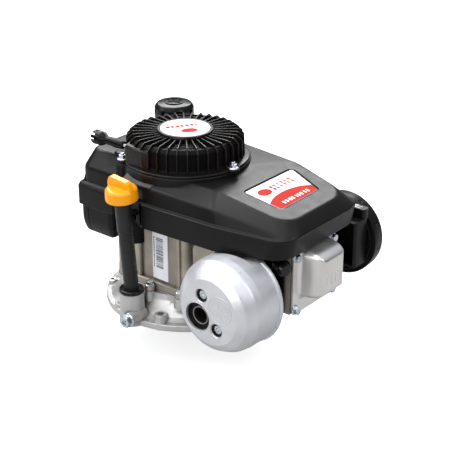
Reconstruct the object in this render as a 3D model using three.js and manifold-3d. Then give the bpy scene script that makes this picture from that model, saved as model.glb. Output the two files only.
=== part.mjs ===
// A small vertical-shaft petrol engine, about 139 cc, of the kind that drives a rotary lawn mower.
// Millimetres. +Z is up along the crankshaft, z = 0 is the underside of the round deck flange.
// +X points along the cylinder to the rocker cover. The silencer is on -Y, the air filter on +Y,
// and the fuel tank on -X.
import * as THREE from 'three';
import { mergeVertices } from 'three/addons/utils/BufferGeometryUtils.js';
import Module from 'manifold-3d';

// ---------------------------------------------------------------- driving dimensions
const GAP = 0.3;                   // running or seating gap between neighbouring pieces
const FLANGE_R = 111;              // deck flange, outside radius
const FLANGE_T = 9;                // deck flange thickness
const BOLT_R = 101.6;              // mounting holes: 203.2 mm (8 inch) circle
const MOUNT_ANGLES = [-69, 51, 171];
const SHAFT_R = 11.1;              // power take-off shaft, 22.2 mm (7/8 inch) diameter
const SHAFT_LOW = -56;             // lower end of that shaft
const JOINT_Z = 40;                // sump to crankcase joint
const CASE_TOP = 135.5;            // top of the crankcase walls
const AXIS_Z = 97;                 // height of the cylinder axis
const BORE_R = 32;
const THROW = 21.5;                // crank radius, half of the 43 mm stroke
const ROD = 90;                    // connecting rod, centre to centre
const PIN_X = THROW + ROD;         // wrist pin at top dead centre
const DECK_X = 134;                // top face of the cylinder
const HEAD_X = 205;                // outer face of the cylinder head
const CAM = [-14, 49];             // camshaft centre in plan
const CRANK_GEAR_R = 17;           // pitch radii of the timing gears, 1 to 2
const CAM_GEAR_R = 34;
const TUBE = { x: -4, y: -105.5, z: 45, topY: -117, topZ: 180 };   // oil filler tube axis
const MUFFLER = { x: 155.3, z: 81.6, face: -140, shoulder: -111, rear: -78, r: 61, faceR: 42 };
const TAIL = { x: 138, z: 70.6, r: 18 };
const FILTER = { x: 166.4, z: 95.8, rim: 120, back: 142, r: 56.4 };
const CAP = { x: -91, y: 81, z: 212, r: 27.5 };      // fuel cap
const STARTER = { r: 74, base: 203.4, top: 238, earR: 84, ears: [-3.5, -123.5, 116.5] };
const THROTTLE = { y: 58, out: -16 };                // carburettor spindles, with each arm's reach along X
const CHOKE = { y: 80, out: 18 };
const HANDLE = { y: -57, z: 220, start: -55, end: -107.5 };

// ---------------------------------------------------------------- shape helpers
const wasm = await Module();
wasm.setup();

// A closed three.js geometry as a solid that can be joined and cut.
function toSolid(geometry) {
  const bare = geometry.clone();
  bare.deleteAttribute('normal');
  bare.deleteAttribute('uv');
  const merged = mergeVertices(bare, 1e-4);
  const source = merged.index.array;
  const triangles = [];
  for (let i = 0; i < source.length; i += 3) {
    const [a, b, c] = [source[i], source[i + 1], source[i + 2]];
    if (a !== b && b !== c && c !== a) triangles.push(a, b, c);
  }
  return new wasm.Manifold(new wasm.Mesh({
    numProp: 3,
    vertProperties: new Float32Array(merged.attributes.position.array),
    triVerts: new Uint32Array(triangles),
  }));
}

function fromSolid(solid) {
  const mesh = solid.getMesh();
  const geometry = new THREE.BufferGeometry();
  geometry.setAttribute('position', new THREE.BufferAttribute(mesh.vertProperties, 3));
  geometry.setIndex(new THREE.BufferAttribute(mesh.triVerts, 1));
  return geometry;
}

const join = (...all) => fromSolid(all.map(toSolid).reduce((a, b) => a.add(b)));
const cut = (body, ...tools) => fromSolid(tools.map(toSolid).reduce((a, b) => a.subtract(b), toSolid(body)));

function block(x0, x1, y0, y1, z0, z1) {
  const box = new THREE.BoxGeometry(x1 - x0, y1 - y0, z1 - z0);
  return box.translate((x0 + x1) / 2, (y0 + y1) / 2, (z0 + z1) / 2);
}

// Round bars along Z, Y and X.
function post(x, y, z0, z1, r, sides = 16) {
  const bar = new THREE.CylinderGeometry(r, r, z1 - z0, sides).rotateX(Math.PI / 2);
  return bar.translate(x, y, (z0 + z1) / 2);
}

function barY(y0, y1, x, z, r, sides = 16) {
  return new THREE.CylinderGeometry(r, r, y1 - y0, sides).translate(x, (y0 + y1) / 2, z);
}

function barX(x0, x1, y, z, r, sides = 16) {
  const bar = new THREE.CylinderGeometry(r, r, x1 - x0, sides).rotateZ(-Math.PI / 2);
  return bar.translate((x0 + x1) / 2, y, z);
}

// A profile of [radius, height] turned about Z. It starts and ends on the axis, or closes.
function turned(profile, sides = 20) {
  const points = profile.map(([r, z]) => new THREE.Vector2(r, z));
  return new THREE.LatheGeometry(points, sides).rotateX(Math.PI / 2);
}

// The same about an axis along Y, with heights measured towards +Y.
function turnedY(profile, x, z, sides = 24) {
  const points = profile.map(([r, y]) => new THREE.Vector2(r, y));
  return new THREE.LatheGeometry(points, sides).translate(x, 0, z);
}

// An outline [[x, y], ...] pulled up from z0 to z1.
function prism(outline, z0, z1) {
  const shape = new THREE.Shape(outline.map(([x, y]) => new THREE.Vector2(x, y)));
  const geometry = new THREE.ExtrudeGeometry(shape, { depth: z1 - z0, bevelEnabled: false });
  return geometry.translate(0, 0, z0);
}

// Corners [x, y, radius], counter-clockwise, as an outline with rounded corners.
function rounded(corners, steps = 2) {
  const outline = [];
  corners.forEach(([x, y, r], i) => {
    const before = corners[(i + corners.length - 1) % corners.length];
    const after = corners[(i + 1) % corners.length];
    const corner = new THREE.Vector2(x, y);
    const a = new THREE.Vector2(before[0] - x, before[1] - y).normalize();
    const b = new THREE.Vector2(after[0] - x, after[1] - y).normalize();
    const reach = r / Math.tan(Math.acos(a.dot(b)) / 2);
    const from = corner.clone().addScaledVector(a, reach);
    const to = corner.clone().addScaledVector(b, reach);
    const curve = new THREE.QuadraticBezierCurve(from, corner, to);
    curve.getPoints(steps).forEach((p) => outline.push([p.x, p.y]));
  });
  return outline;
}

// The same corners moved inwards by d.
function inset(corners, d) {
  return corners.map(([x, y, r], i) => {
    const before = corners[(i + corners.length - 1) % corners.length];
    const after = corners[(i + 1) % corners.length];
    const u = new THREE.Vector2(x - before[0], y - before[1]).normalize();
    const v = new THREE.Vector2(after[0] - x, after[1] - y).normalize();
    const n = new THREE.Vector2(-u.y - v.y, u.x + v.x);
    n.multiplyScalar(d / (1 + u.dot(v)));
    return [x + n.x, y + n.y, Math.max(r - d, 1)];
  });
}

// A skin through rings of [x, y, z] with equal point counts, closed at both ends.
function loft(rings) {
  const n = rings[0].length;
  const positions = rings.flat(2);
  const index = [];
  for (let k = 0; k + 1 < rings.length; k++) {
    for (let i = 0; i < n; i++) {
      const j = (i + 1) % n;
      index.push(k * n + i, k * n + j, (k + 1) * n + j, k * n + i, (k + 1) * n + j, (k + 1) * n + i);
    }
  }
  const flat = (ring) => ring.map(([x, y]) => new THREE.Vector2(x, y));
  const low = THREE.ShapeUtils.triangulateShape(flat(rings[0]), []);
  const high = THREE.ShapeUtils.triangulateShape(flat(rings.at(-1)), []);
  const top = (rings.length - 1) * n;
  low.forEach(([a, b, c]) => index.push(a, c, b));
  high.forEach(([a, b, c]) => index.push(top + a, top + b, top + c));
  const geometry = new THREE.BufferGeometry();
  geometry.setAttribute('position', new THREE.Float32BufferAttribute(positions, 3));
  geometry.setIndex(index);
  return geometry;
}

const ring = (corners, height, steps = 2) => rounded(corners, steps).map(([x, y]) => [x, y, height(x)]);
const polar = (r, degrees) => [r * Math.cos(THREE.MathUtils.degToRad(degrees)),
  r * Math.sin(THREE.MathUtils.degToRad(degrees))];
const spin = (geometry, degrees) => geometry.rotateZ(THREE.MathUtils.degToRad(degrees));

// ---------------------------------------------------------------- materials
const finish = (color, roughness, metalness) => new THREE.MeshStandardMaterial({ color, roughness,
  metalness });
const LOOK = {
  blackPlastic: finish(0x1d1d1f, 0.45, 0),
  starterPlastic: finish(0x1b1715, 0.35, 0),
  casting: finish(0xa39a8c, 0.6, 0.8),
  sumpCasting: finish(0xc4c2be, 0.5, 0.8),
  silverPaint: finish(0xb9bbc0, 0.4, 0.6),
  pressedMetal: finish(0xc8c4bc, 0.3, 0.9),
  steel: finish(0x8f9296, 0.35, 0.9),
  zinc: finish(0xc9d2da, 0.25, 0.9),
  iron: finish(0x55565a, 0.6, 0.7),
  yellow: finish(0xffb20c, 0.35, 0),
  rubber: finish(0x151515, 0.6, 0),
  brown: finish(0x6a4a34, 0.7, 0),
  paper: finish(0xd8cfae, 0.9, 0),
  cord: finish(0xe8e6e0, 0.9, 0),
};

const engine = new THREE.Group();

function piece(name, geometry, material, parent = engine) {
  const mesh = new THREE.Mesh(geometry, material);
  mesh.name = name;
  parent.add(mesh);
  return mesh;
}

// ---------------------------------------------------------------- sump and crankcase
const caseCorners = [[-62, -70, 16], [60, -70, 10], [60, 62, 12], [36, 92, 20], [-62, 92, 24]];
const caseOutline = rounded(caseCorners);
const bandOutline = rounded(inset(caseCorners, -6));
const cavityOutline = rounded(inset(caseCorners, 7));

function sump() {
  const dome = turned([[0, 0], [FLANGE_R, 0], [FLANGE_R, FLANGE_T], [98, 13], [90, 20], [84, 30], [82, 36],
    [0, 36]], 30);
  const bossTop = 20;
  const bosses = MOUNT_ANGLES.map((a) => post(...polar(BOLT_R, a), 0, bossTop, 9, 16));
  const holes = MOUNT_ANGLES.map((a) => post(...polar(BOLT_R, a), -1, bossTop + 1, 4.5, 12));
  const filler = post(TUBE.x, TUBE.y, 0, TUBE.z, 16);
  const drainBoss = barY(-124, -100, 7, 13, 9);
  const shell = join(dome, prism(bandOutline, 30, JOINT_Z), filler, drainBoss, ...bosses);
  const cavity = join(
    turned([[0, 10], [60, 10], [72, 18], [72, 32], [0, 32]], 24),
    prism(cavityOutline, 30, JOINT_Z + 1));
  const hollow = cut(shell, cavity);
  const shaftBoss = post(0, 0, 2, 44, 22);
  const camBoss = post(...CAM, 2, 26, 13);
  return cut(join(hollow, shaftBoss, camBoss),
    post(0, 0, -1, 45, SHAFT_R + 1.9), post(0, 0, -1, 8.5, 17.5), post(...CAM, 14, 27, 7.4),
    post(TUBE.x, TUBE.y, 12, TUBE.z + 1, 11), block(-8, 4, -103, -60, 14, 22),
    barY(-125, -100, 7, 13, 5.4, 16), ...holes);
}

function crankcase() {
  const walls = join(prism(caseOutline, 50, CASE_TOP), prism(bandOutline, JOINT_Z + 1.2, 50.2));
  const cavity = prism(cavityOutline, JOINT_Z, 129);
  const bearing = post(0, 0, 121, 150, 21);
  const camSeat = post(...CAM, 119, 131, 12);
  const fins = [];
  for (let x = 72; x <= 120; x += 12) fins.push(block(x, x + 3, -46, 46, AXIS_Z - 43, AXIS_Z + 43));
  const barrel = barX(55, DECK_X, 0, AXIS_Z, BORE_R + 7);
  const body = join(cut(walls, cavity), bearing, camSeat, barrel, ...fins, block(124, DECK_X, -44, 44, 55,
    139));
  return cut(body, barX(40, DECK_X + 1, 0, AXIS_Z, BORE_R), post(0, 0, 120, 151, 12.9), post(...CAM, 118,
    127, 7.4));
}

piece('sump', sump(), LOOK.sumpCasting);
piece('sump_gasket', cut(prism(bandOutline, JOINT_Z + GAP, JOINT_Z + 0.9), prism(cavityOutline, 38, 42)),
  LOOK.brown);
piece('crankcase', crankcase(), LOOK.casting);
const sealProfile = [[SHAFT_R + GAP, 1], [17.2, 1], [17.2, 8.2], [SHAFT_R + GAP, 8.2], [SHAFT_R + GAP, 1]];
piece('oil_seal', turned(sealProfile, 24), LOOK.rubber);

// ---------------------------------------------------------------- crankshaft, rod and piston
const webGap = 10;                                  // half the space between the two crank webs
const webT = 12;
const pinR = 11.5;

function crankWeb(z0) {
  const counterweight = cut(post(0, 0, z0, z0 + webT, 38, 20), block(4, 40, -40, 40, z0 - 1, z0 + webT + 1));
  const cheek = block(-2, THROW, -15, 15, z0, z0 + webT);
  return join(counterweight, cheek, post(THROW, 0, z0, z0 + webT, 15), post(0, 0, z0, z0 + webT, 19));
}

function lowerCrank() {
  const low = AXIS_Z - webGap - webT;
  const shaft = turned([[0, SHAFT_LOW], [SHAFT_R - 1, SHAFT_LOW], [SHAFT_R, SHAFT_LOW + 1], [SHAFT_R, 10],
    [12.5, 11], [12.5, low + 1], [0, low + 1]], 16);
  const gear = post(0, 0, 47, 57, CRANK_GEAR_R, 24);
  const keyway = block(SHAFT_R - 2.6, SHAFT_R + 1, -2.4, 2.4, SHAFT_LOW + 6, SHAFT_LOW + 34);
  return cut(join(crankWeb(low), shaft, gear), keyway, post(0, 0, SHAFT_LOW - 1, SHAFT_LOW + 25, 4, 12));
}

function upperCrank() {
  const base = AXIS_Z + webGap;
  const shaft = turned([[0, base + webT - 1], [12.5, base + webT - 1], [12.5, 154], [9, 182], [6.8, 182.5],
    [6.8, 202], [0, 202]], 16);
  return join(crankWeb(base), shaft);
}

piece('crankshaft_lower', lowerCrank(), LOOK.steel);
piece('crankshaft_upper', upperCrank(), LOOK.steel);
piece('pto_key', block(SHAFT_R - 2.3, SHAFT_R + 2.2, -2.1, 2.1, SHAFT_LOW + 6.3, SHAFT_LOW + 33.7),
  LOOK.steel);
piece('crankpin', post(THROW, 0, AXIS_Z - webGap + GAP, AXIS_Z + webGap - GAP, pinR), LOOK.steel);

function connectingRod() {
  const bigEnd = post(THROW, 0, AXIS_Z - 8.5, AXIS_Z + 8.5, 16);
  const smallEnd = post(PIN_X, 0, AXIS_Z - 8, AXIS_Z + 8, 11);
  const shank = block(THROW + 12, PIN_X - 8, -6, 6, AXIS_Z - 5, AXIS_Z + 5);
  return cut(join(bigEnd, smallEnd, shank), post(THROW, 0, 80, 115, pinR + GAP), post(PIN_X, 0, 80, 115,
    6.8, 16));
}

function piston() {
  const crown = PIN_X + 18;
  const skirt = PIN_X - 17;
  const body = barX(skirt, crown, 0, AXIS_Z, BORE_R - 1);
  const inside = barX(skirt - 1, crown - 6, 0, AXIS_Z, 26);
  const bosses = join(post(PIN_X, 0, AXIS_Z + 10, AXIS_Z + 29, 10), post(PIN_X, 0, AXIS_Z - 29,
    AXIS_Z - 10, 10));
  return cut(join(cut(body, inside), bosses), post(PIN_X, 0, AXIS_Z - 40, AXIS_Z + 40, 6.8, 16));
}

piece('connecting_rod', connectingRod(), LOOK.casting);
piece('piston', piston(), LOOK.pressedMetal);
piece('wrist_pin', cut(post(PIN_X, 0, AXIS_Z - 28, AXIS_Z + 28, 6.5, 16),
  post(PIN_X, 0, 60, 130, 3.8, 12)), LOOK.steel);

const camshaft = join(post(...CAM, 14.5, 126, 7), post(...CAM, 47, 57, CAM_GEAR_R - GAP, 32),
  post(CAM[0] + 2, CAM[1], 76, 86, 10.5), post(CAM[0], CAM[1] - 2, 106, 116, 10.5));
piece('camshaft', camshaft, LOOK.iron);

// ---------------------------------------------------------------- cylinder head and valves
const VALVE_Z = { intake: AXIS_Z + 16, exhaust: AXIS_Z - 16 };
const ROCKER_Y = 22;
const VALVE_END = 191.8;             // tip of each valve stem, under its rocker arm

function cylinderHead() {
  const body = block(DECK_X + 1.5, HEAD_X, -44, 44, 55, 139);
  const tools = [barX(DECK_X, DECK_X + 7, 0, AXIS_Z, 29), block(178, HEAD_X + 1, -28, 41.5, 66, 128)];
  for (const z of Object.values(VALVE_Z)) {
    tools.push(barX(DECK_X + 6, 154, 0, z, 11, 16), barX(150, 180, 0, z, 3.1, 12));
  }
  tools.push(barY(0, 45, 150, VALVE_Z.intake, 10, 16), barY(-45, 0, 150, VALVE_Z.exhaust, 10, 16));
  for (let x = 146; x < 176; x += 12) {
    tools.push(block(x, x + 6, -45, 45, 126, 140), block(x, x + 6, -45, 45, 54, 66));
  }
  const studs = Object.values(VALVE_Z).map((z) => barX(176, 203, ROCKER_Y, z, 3, 12));
  return cut(join(cut(body, ...tools), ...studs), alongPlug(-14, 12, 8.6), alongPlug(8, 44, 10.5));
}

// The spark plug leans out of the head towards the front on the silencer side.
const PLUG = { x: 176, y: -38, z: 120, lean: -30 };
function alongPlug(from, to, r, sides = 16) {
  const bar = new THREE.CylinderGeometry(r, r, to - from, sides).rotateZ(-Math.PI / 2);
  return spin(bar.translate((from + to) / 2, 0, 0), PLUG.lean).translate(PLUG.x, PLUG.y, PLUG.z);
}

function valve(z) {
  const profile = [[0, 137.2], [12.5, 137.2], [12.5, 138.6], [2.75, 144], [2.75, VALVE_END], [0, VALVE_END]];
  return turned(profile, 16).rotateY(Math.PI / 2).translate(0, 0, z);
}

function rockerArm(z) {
  const bar = block(193, 199, -4, 40, z - 7, z + 7);
  const tip = barX(192.4, 194, 0, z, 3, 12);
  return cut(join(bar, tip), barX(190, 200, ROCKER_Y, z, 5, 12));
}

piece('head_gasket', cut(block(DECK_X + GAP, DECK_X + 1.2, -44, 44, 55, 139),
  barX(130, 140, 0, AXIS_Z, 33)), LOOK.iron);
piece('cylinder_head', cylinderHead(), LOOK.casting);
for (const [side, z] of Object.entries(VALVE_Z)) {
  piece(`valve_${side}`, valve(z), LOOK.steel);
  piece(`valve_spring_${side}`, cut(barX(178.4, 188.6, 0, z, 8), barX(178, 190, 0, z, 6)), LOOK.steel);
  piece(`rocker_arm_${side}`, rockerArm(z), LOOK.steel);
}
piece('spark_plug', join(alongPlug(-13, 8, 5.5), alongPlug(3, 7, 8.2, 6), alongPlug(7, 26, 4.5)), LOOK.zinc);
piece('plug_boot', cut(alongPlug(10, 34, 9), alongPlug(9, 28, 5.2)), LOOK.rubber);

// Rocker cover: a pressed lid on a flat rim, held by four corner bolts.
const coverBolts = [[-38, 61], [38, 61], [-38, 133], [38, 133]];
function rockerCover() {
  const rim = block(HEAD_X + 0.8, 208.5, -44, 44, 55, 139);
  const lid = loft([[207, 0], [232, 1], [238, 4], [240, 9]].map(([x, d]) => rounded(
    [[-31 + d, 73 + d, 9], [31 - d, 73 + d, 9], [31 - d, 141 - d, 9], [-31 + d, 141 - d, 9]], 3)
    .map(([y, z]) => [y, z, x])));
  const standing = lid.applyMatrix4(new THREE.Matrix4().set(0, 0, 1, 0, 1, 0, 0, 0, 0, 1, 0, 0, 0, 0, 0, 1));
  const holes = coverBolts.map(([y, z]) => barX(200, 212, y, z, 3.4, 12));
  return cut(join(rim, standing), block(204, 237, -26, 26, 78, 136), ...holes);
}

piece('rocker_cover', rockerCover(), LOOK.pressedMetal);
coverBolts.forEach(([y, z], i) => {
  piece(`rocker_bolt_${i + 1}`, join(barX(208.8, 210.5, y, z, 6.2, 16), barX(210, 215, y, z, 4.6, 6)),
    LOOK.zinc);
});

// ---------------------------------------------------------------- flywheel, fan and recoil starter
const flywheel = cut(turned([[0, 156], [26, 156], [30, 160], [62, 160], [62, 156], [70, 156], [70, 175], [24, 175],
  [24, 186], [0, 186]], 24), turned([[0, 155], [12.9, 155], [9.4, 187], [0, 187]], 16));
piece('flywheel', flywheel, LOOK.iron);

const blades = [];
for (let i = 0; i < 10; i++) blades.push(spin(block(40, 66, -1.2, 1.2, 176.5, 194), i * 36));
const fanDisc = turned([[30, 175.4], [69, 175.4], [69, 178], [30, 178], [30, 175.4]], 24);
piece('cooling_fan', join(fanDisc, ...blades), LOOK.blackPlastic);

piece('starter_cup', turned([[7.2, 186.4], [34, 186.4], [36, 188], [36, 207], [34, 207], [34, 189], [7.2, 189],
  [7.2, 186.4]], 24), LOOK.steel);
piece('flywheel_nut', cut(post(0, 0, 189.4, 199, 11, 6), post(0, 0, 189, 200, 7.1)), LOOK.zinc);
piece('ignition_coil', join(block(76, 96, -14, 14, 157, 176), block(84, 92, -8, 8, AXIS_Z + 43.4, 158)),
  LOOK.rubber);

// Shroud: the black cover over the flywheel, with a bevelled shoulder and a stepped lower skirt.
const level = (z) => () => z;
const skirtBottom = (x) => 137 + 5 * THREE.MathUtils.smoothstep(x, 120, 190);
const bevelFoot = (x) => Math.min(189.3, 192 - 0.13 * (x - 60));
const crownTop = (x) => Math.min(203, 203 - 0.093 * (x - 30));
const LEFT = -84;                  // the flywheel chamber's wall on the tank side
const skirtCorners = [[LEFT, -58, 8], [-44, -68, 10], [12, -100, 8], [128, -94, 60], [217, -77, 30], [215,
  90, 34],
  [120, 106, 60], [LEFT, 118, 14]];
const skirtTopCorners = [[LEFT, -58, 8], [-44, -68, 10], [11, -99, 8], [126, -92.5, 60], [223, -76, 30],
  [221, 88, 34],
  [120, 105, 60], [LEFT, 117, 14]];
const ledgeCorners = [[LEFT, -56, 8], [-44, -64, 10], [8, -93, 8], [120, -87, 60], [224, -73, 28], [222,
  86, 34],
  [120, 102, 60], [LEFT, 114, 14]];
const bevelCorners = [[LEFT, -55, 8], [-44, -62, 10], [4, -91, 8], [116, -83.5, 60], [224, -67, 26], [225,
  74, 34],
  [120, 101, 60], [LEFT, 112, 14]];
const crownCorners = [[LEFT, -50, 8], [-46, -52, 10], [-6, -68, 8], [96, -55, 60], [211, -60, 22], [210,
  62, 40],
  [118, 87, 60], [LEFT, 96, 12]];
const browCorners = [[-31, -60, 4], [-31, -92.5, 4], [20, -90.5, 4], [20, -60, 4]];
const browTopCorners = [[-31, -50, 4], [-31, -69, 4], [20, -66, 4], [20, -50, 4]];
const lipCorners = [[-132, -74, 16], [-64, -74, 3], [-64, 116, 10], [-132, 116, 20]];
const wallCorners = [[-129, -68, 16], [-63, -68, 3], [-63, 111, 10], [-129, 111, 18]];
const lidCorners = [[-121, -51, 12], [-62, -51, 3], [-62, 100, 10], [-121, 100, 16]];

// The part of the shroud that covers the fuel tank, with a lip round its lower edge.
function tankHood() {
  const outer = loft([ring(lipCorners, level(124)), ring(lipCorners, level(150)),
    ring(inset(lipCorners, 3), level(155)), ring(wallCorners, level(157)), ring(wallCorners, level(177)),
    ring(lidCorners, level(200))]);
  const inner = loft([ring(inset(lipCorners, 2.5), level(120)), ring(inset(lipCorners, 2.5), level(151)),
    ring(inset(wallCorners, 3), level(155)), ring(inset(wallCorners, 3), level(175)),
    ring(inset(lidCorners, 3), level(197))]);
  return { outer, inner };
}

function shroud() {
  const outer = loft([ring(skirtCorners, skirtBottom), ring(skirtTopCorners, level(168)),
    ring(ledgeCorners, level(168.6)), ring(bevelCorners, bevelFoot), ring(crownCorners, crownTop)]);
  const inner = loft([ring(inset(skirtCorners, 3), level(130)), ring(inset(skirtCorners, 3), level(148)),
    ring(inset(ledgeCorners, 4), level(165)), ring(inset(bevelCorners, 4), (x) => bevelFoot(x) - 2.5),
    ring(inset(crownCorners, 3), (x) => crownTop(x) - 3)]);
  const brow = loft([ring(browCorners, level(170)), ring(browCorners, level(189.3)),
    ring(browTopCorners, level(202.5))]);
  const browSpace = loft([ring(inset(browCorners, 3), level(169)), ring(inset(browCorners, 3), level(187)),
    ring(inset(browTopCorners, 3), level(199.5))]);
  const pedestal = turned([[0, 186], [85.5, 186], [85.5, 203], [0, 203]], 32);
  const flap = block(-18, 1, -92, -86.4, 100, 145);
  const hood = tankHood();
  const body = join(outer, brow, pedestal, hood.outer);
  return join(cut(body, inner, browSpace, hood.inner, post(0, 0, 180, 210, 72, 32),
    post(CAP.x, CAP.y, 190, 205, 20.5)), flap);
}
piece('shroud', shroud(), LOOK.blackPlastic);

function starterHousing() {
  const { r, base, top } = STARTER;
  const bell = turned([[r - 2.5, base], [84, base], [84, base + 2.5], [r + 1.5, base + 3], [r, top - 1.5],
    [r - 1.5, top], [37, top], [36, top + 3], [0, top + 3], [0, top - 2.5], [r - 3, top - 2.5],
    [r - 2.5, base]], 32);
  const ears = STARTER.ears.map((a) => post(...polar(STARTER.earR, a), base, base + 4, 8));
  const ropeBox = prism([[-46, -50], [-34, -77], [6, -67], [10, -60], [-20, -50]], base, top - 8);
  const spindle = post(0, 0, 213, top, 8);
  const windows = [];
  for (let i = 0; i < 8; i++) windows.push(spin(block(42, 67, -9, 9, top - 5, top + 4), i * 45 + 15));
  const body = join(bell, ears[0], ears[1], ears[2], ropeBox, spindle);
  return cut(body, ...windows, ...STARTER.ears.map((a) => post(...polar(STARTER.earR, a), 200, 210, 3.4, 12)),
    block(-60, -5, HANDLE.y - 3, HANDLE.y + 3, HANDLE.z - 3, HANDLE.z + 3),
    block(-34, -5, HANDLE.y - 3, -20, HANDLE.z - 3, HANDLE.z + 3));
}
piece('starter_housing', starterHousing(), LOOK.starterPlastic);
STARTER.ears.forEach((angle, i) => {
  const [x, y] = polar(STARTER.earR, angle);
  const z = STARTER.base + 4 + GAP;
  piece(`starter_nut_${i + 1}`, join(post(x, y, z, z + 1.8, 7.5, 16), post(x, y, z + 1.5, z + 7, 5.4, 6)),
    LOOK.zinc);
});
piece('rope_reel', turned([[8.4, 211], [39, 211], [39, 214], [30, 215], [30, 225], [39, 226], [39, 229],
  [8.4, 229], [8.4, 211]], 24), LOOK.blackPlastic);
piece('recoil_spring', turned([[12, 229.4], [34, 229.4], [34, 234], [12, 234], [12, 229.4]], 24), LOOK.steel);

// The rope leaves the reel, runs through the guide and ends inside the handle.
const reelSide = new THREE.Vector3(-12, -35, HANDLE.z);
const ropePath = new THREE.LineCurve3(reelSide, new THREE.Vector3(-32, HANDLE.y, HANDLE.z));
function rope() {
  const inside = barX(HANDLE.start + GAP, -31, HANDLE.y, HANDLE.z, 2, 8);
  const bend = new THREE.CylinderGeometry(2, 2, ropePath.getLength(), 8);
  const way = ropePath.getTangent(0);
  bend.applyQuaternion(new THREE.Quaternion().setFromUnitVectors(new THREE.Vector3(0, 1, 0), way));
  const middle = ropePath.getPoint(0.5);
  return join(inside, bend.translate(middle.x, middle.y, middle.z));
}
piece('starter_rope', rope(), LOOK.cord);

function ropeHandle() {
  const { y, z, start, end } = HANDLE;
  const grip = new THREE.LatheGeometry([[0, end], [9.6, end], [9, start - 40], [5, start - 30],
    [6, start - 14],
    [4.5, start], [0, start]].map(([r, x]) => new THREE.Vector2(r, x)), 16);
  const notches = [0, 45, 90, 135].map((a) => block(end - 1, end + 6, -1.6, 1.6, -12, 12)
    .rotateX(THREE.MathUtils.degToRad(a)).translate(0, y, z));
  return cut(grip.rotateZ(-Math.PI / 2).translate(0, y, z), ...notches,
    barX(end - 1, end + 8, y, z, 6.5, 12));
}
piece('rope_handle', ropeHandle(), LOOK.blackPlastic);

// ---------------------------------------------------------------- fuel tank
const tankCorners = [[-127, -67, 14], [-70, -67, 8], [-70, -50, 3], [-87.5, -36, 4], [-87.5, 106, 10],
  [-127, 106, 14]];

function fuelTank() {
  const outer = loft([ring(inset(tankCorners, 9), level(82)), ring(inset(tankCorners, 3), level(86)),
    ring(tankCorners, level(100)), ring(tankCorners, level(146)), ring(inset(tankCorners, 6), level(168))]);
  const inner = loft([ring(inset(tankCorners, 10), level(84.5)), ring(inset(tankCorners, 5), level(88)),
    ring(inset(tankCorners, 2.5), level(101)), ring(inset(tankCorners, 2.5), level(145)),
    ring(inset(tankCorners, 8.5), level(165.5))]);
  const neck = post(CAP.x, CAP.y, 146, CAP.z + 10, 19);
  return cut(join(outer, neck), inner, post(CAP.x, CAP.y, 150, CAP.z + 11, 16));
}

function fuelCap() {
  const cap = turned([[21, CAP.z], [CAP.r - 1, CAP.z], [CAP.r, CAP.z + 2], [CAP.r, CAP.z + 17],
    [CAP.r - 3, CAP.z + 22],
    [18, CAP.z + 24], [0, CAP.z + 24], [0, CAP.z + 14], [21, CAP.z + 14], [21, CAP.z]], 20);
  const grips = [];
  for (let i = 0; i < 6; i++) grips.push(spin(post(CAP.r + 1.5, 0, CAP.z + 8, CAP.z + 25, 5, 8), i * 60));
  return cut(cap, ...grips).translate(CAP.x, CAP.y, 0);
}

piece('fuel_tank', fuelTank(), LOOK.blackPlastic);
piece('fuel_cap', fuelCap(), LOOK.blackPlastic);
piece('fuel_cap_seal', post(CAP.x, CAP.y, CAP.z + 10 + GAP, CAP.z + 14 - GAP, 18.5), LOOK.rubber);

// ---------------------------------------------------------------- oil filler tube and dipstick
const tubeLow = new THREE.Vector3(TUBE.x, TUBE.y, TUBE.z);
const tubeWay = new THREE.Vector3(0, TUBE.topY - TUBE.y, TUBE.topZ - TUBE.z).normalize();
const tubeLength = Math.hypot(TUBE.topY - TUBE.y, TUBE.topZ - TUBE.z);

// A profile [radius, distance along the tube], or any other shape made along Z, set on the tube's axis.
function onTube(geometry) {
  const turn = new THREE.Quaternion().setFromUnitVectors(new THREE.Vector3(0, 0, 1), tubeWay);
  return geometry.applyQuaternion(turn).translate(tubeLow.x, tubeLow.y, tubeLow.z);
}

const top = tubeLength;
const tube = join(
  onTube(turned([[8.3, -4], [10, -4], [10, top - 2], [8.3, top - 2], [8.3, -4]], 20)),
  cut(turned([[9, 45.4], [16.4, 45.4], [15, 49.5], [9, 49.5], [9, 45.4]], 24).translate(TUBE.x, TUBE.y, 0),
    onTube(post(0, 0, -10, 20, 9.2))));
piece('filler_tube', tube, LOOK.blackPlastic);
piece('dipstick_blade', onTube(block(-2, 2, -0.7, 0.7, -26, top + 5)), LOOK.steel);
const capHead = turned([[0, top + 4], [17, top + 4], [17, top - 1], [20.8, top - 1], [20.8, top + 13],
  [18, top + 16],
  [8, top + 18], [0, top + 18]]);
const capStem = cut(post(0, 0, top - 8, top + 5, 7.9), post(0, 0, top - 9, top + 2, 4.5, 12));
const capFin = block(-17, 17, -4, 4, top + 12, top + 27.5);
piece('dipstick_cap', onTube(cut(join(capHead, capStem, capFin), post(0, 0, top, top + 5.6, 2.6))),
  LOOK.yellow);
piece('drain_plug', cut(join(barY(-122, -110, 7, 13, 5, 16), barY(-127, -124.3, 7, 13, 10, 20),
  barY(-124.4, -121, 7, 13, 5, 16), barY(-135, -126, 7, 13, 7.6, 6)), block(3.5, 10.5, -136, -129, 9.5,
    16.5)),
LOOK.zinc);

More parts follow.
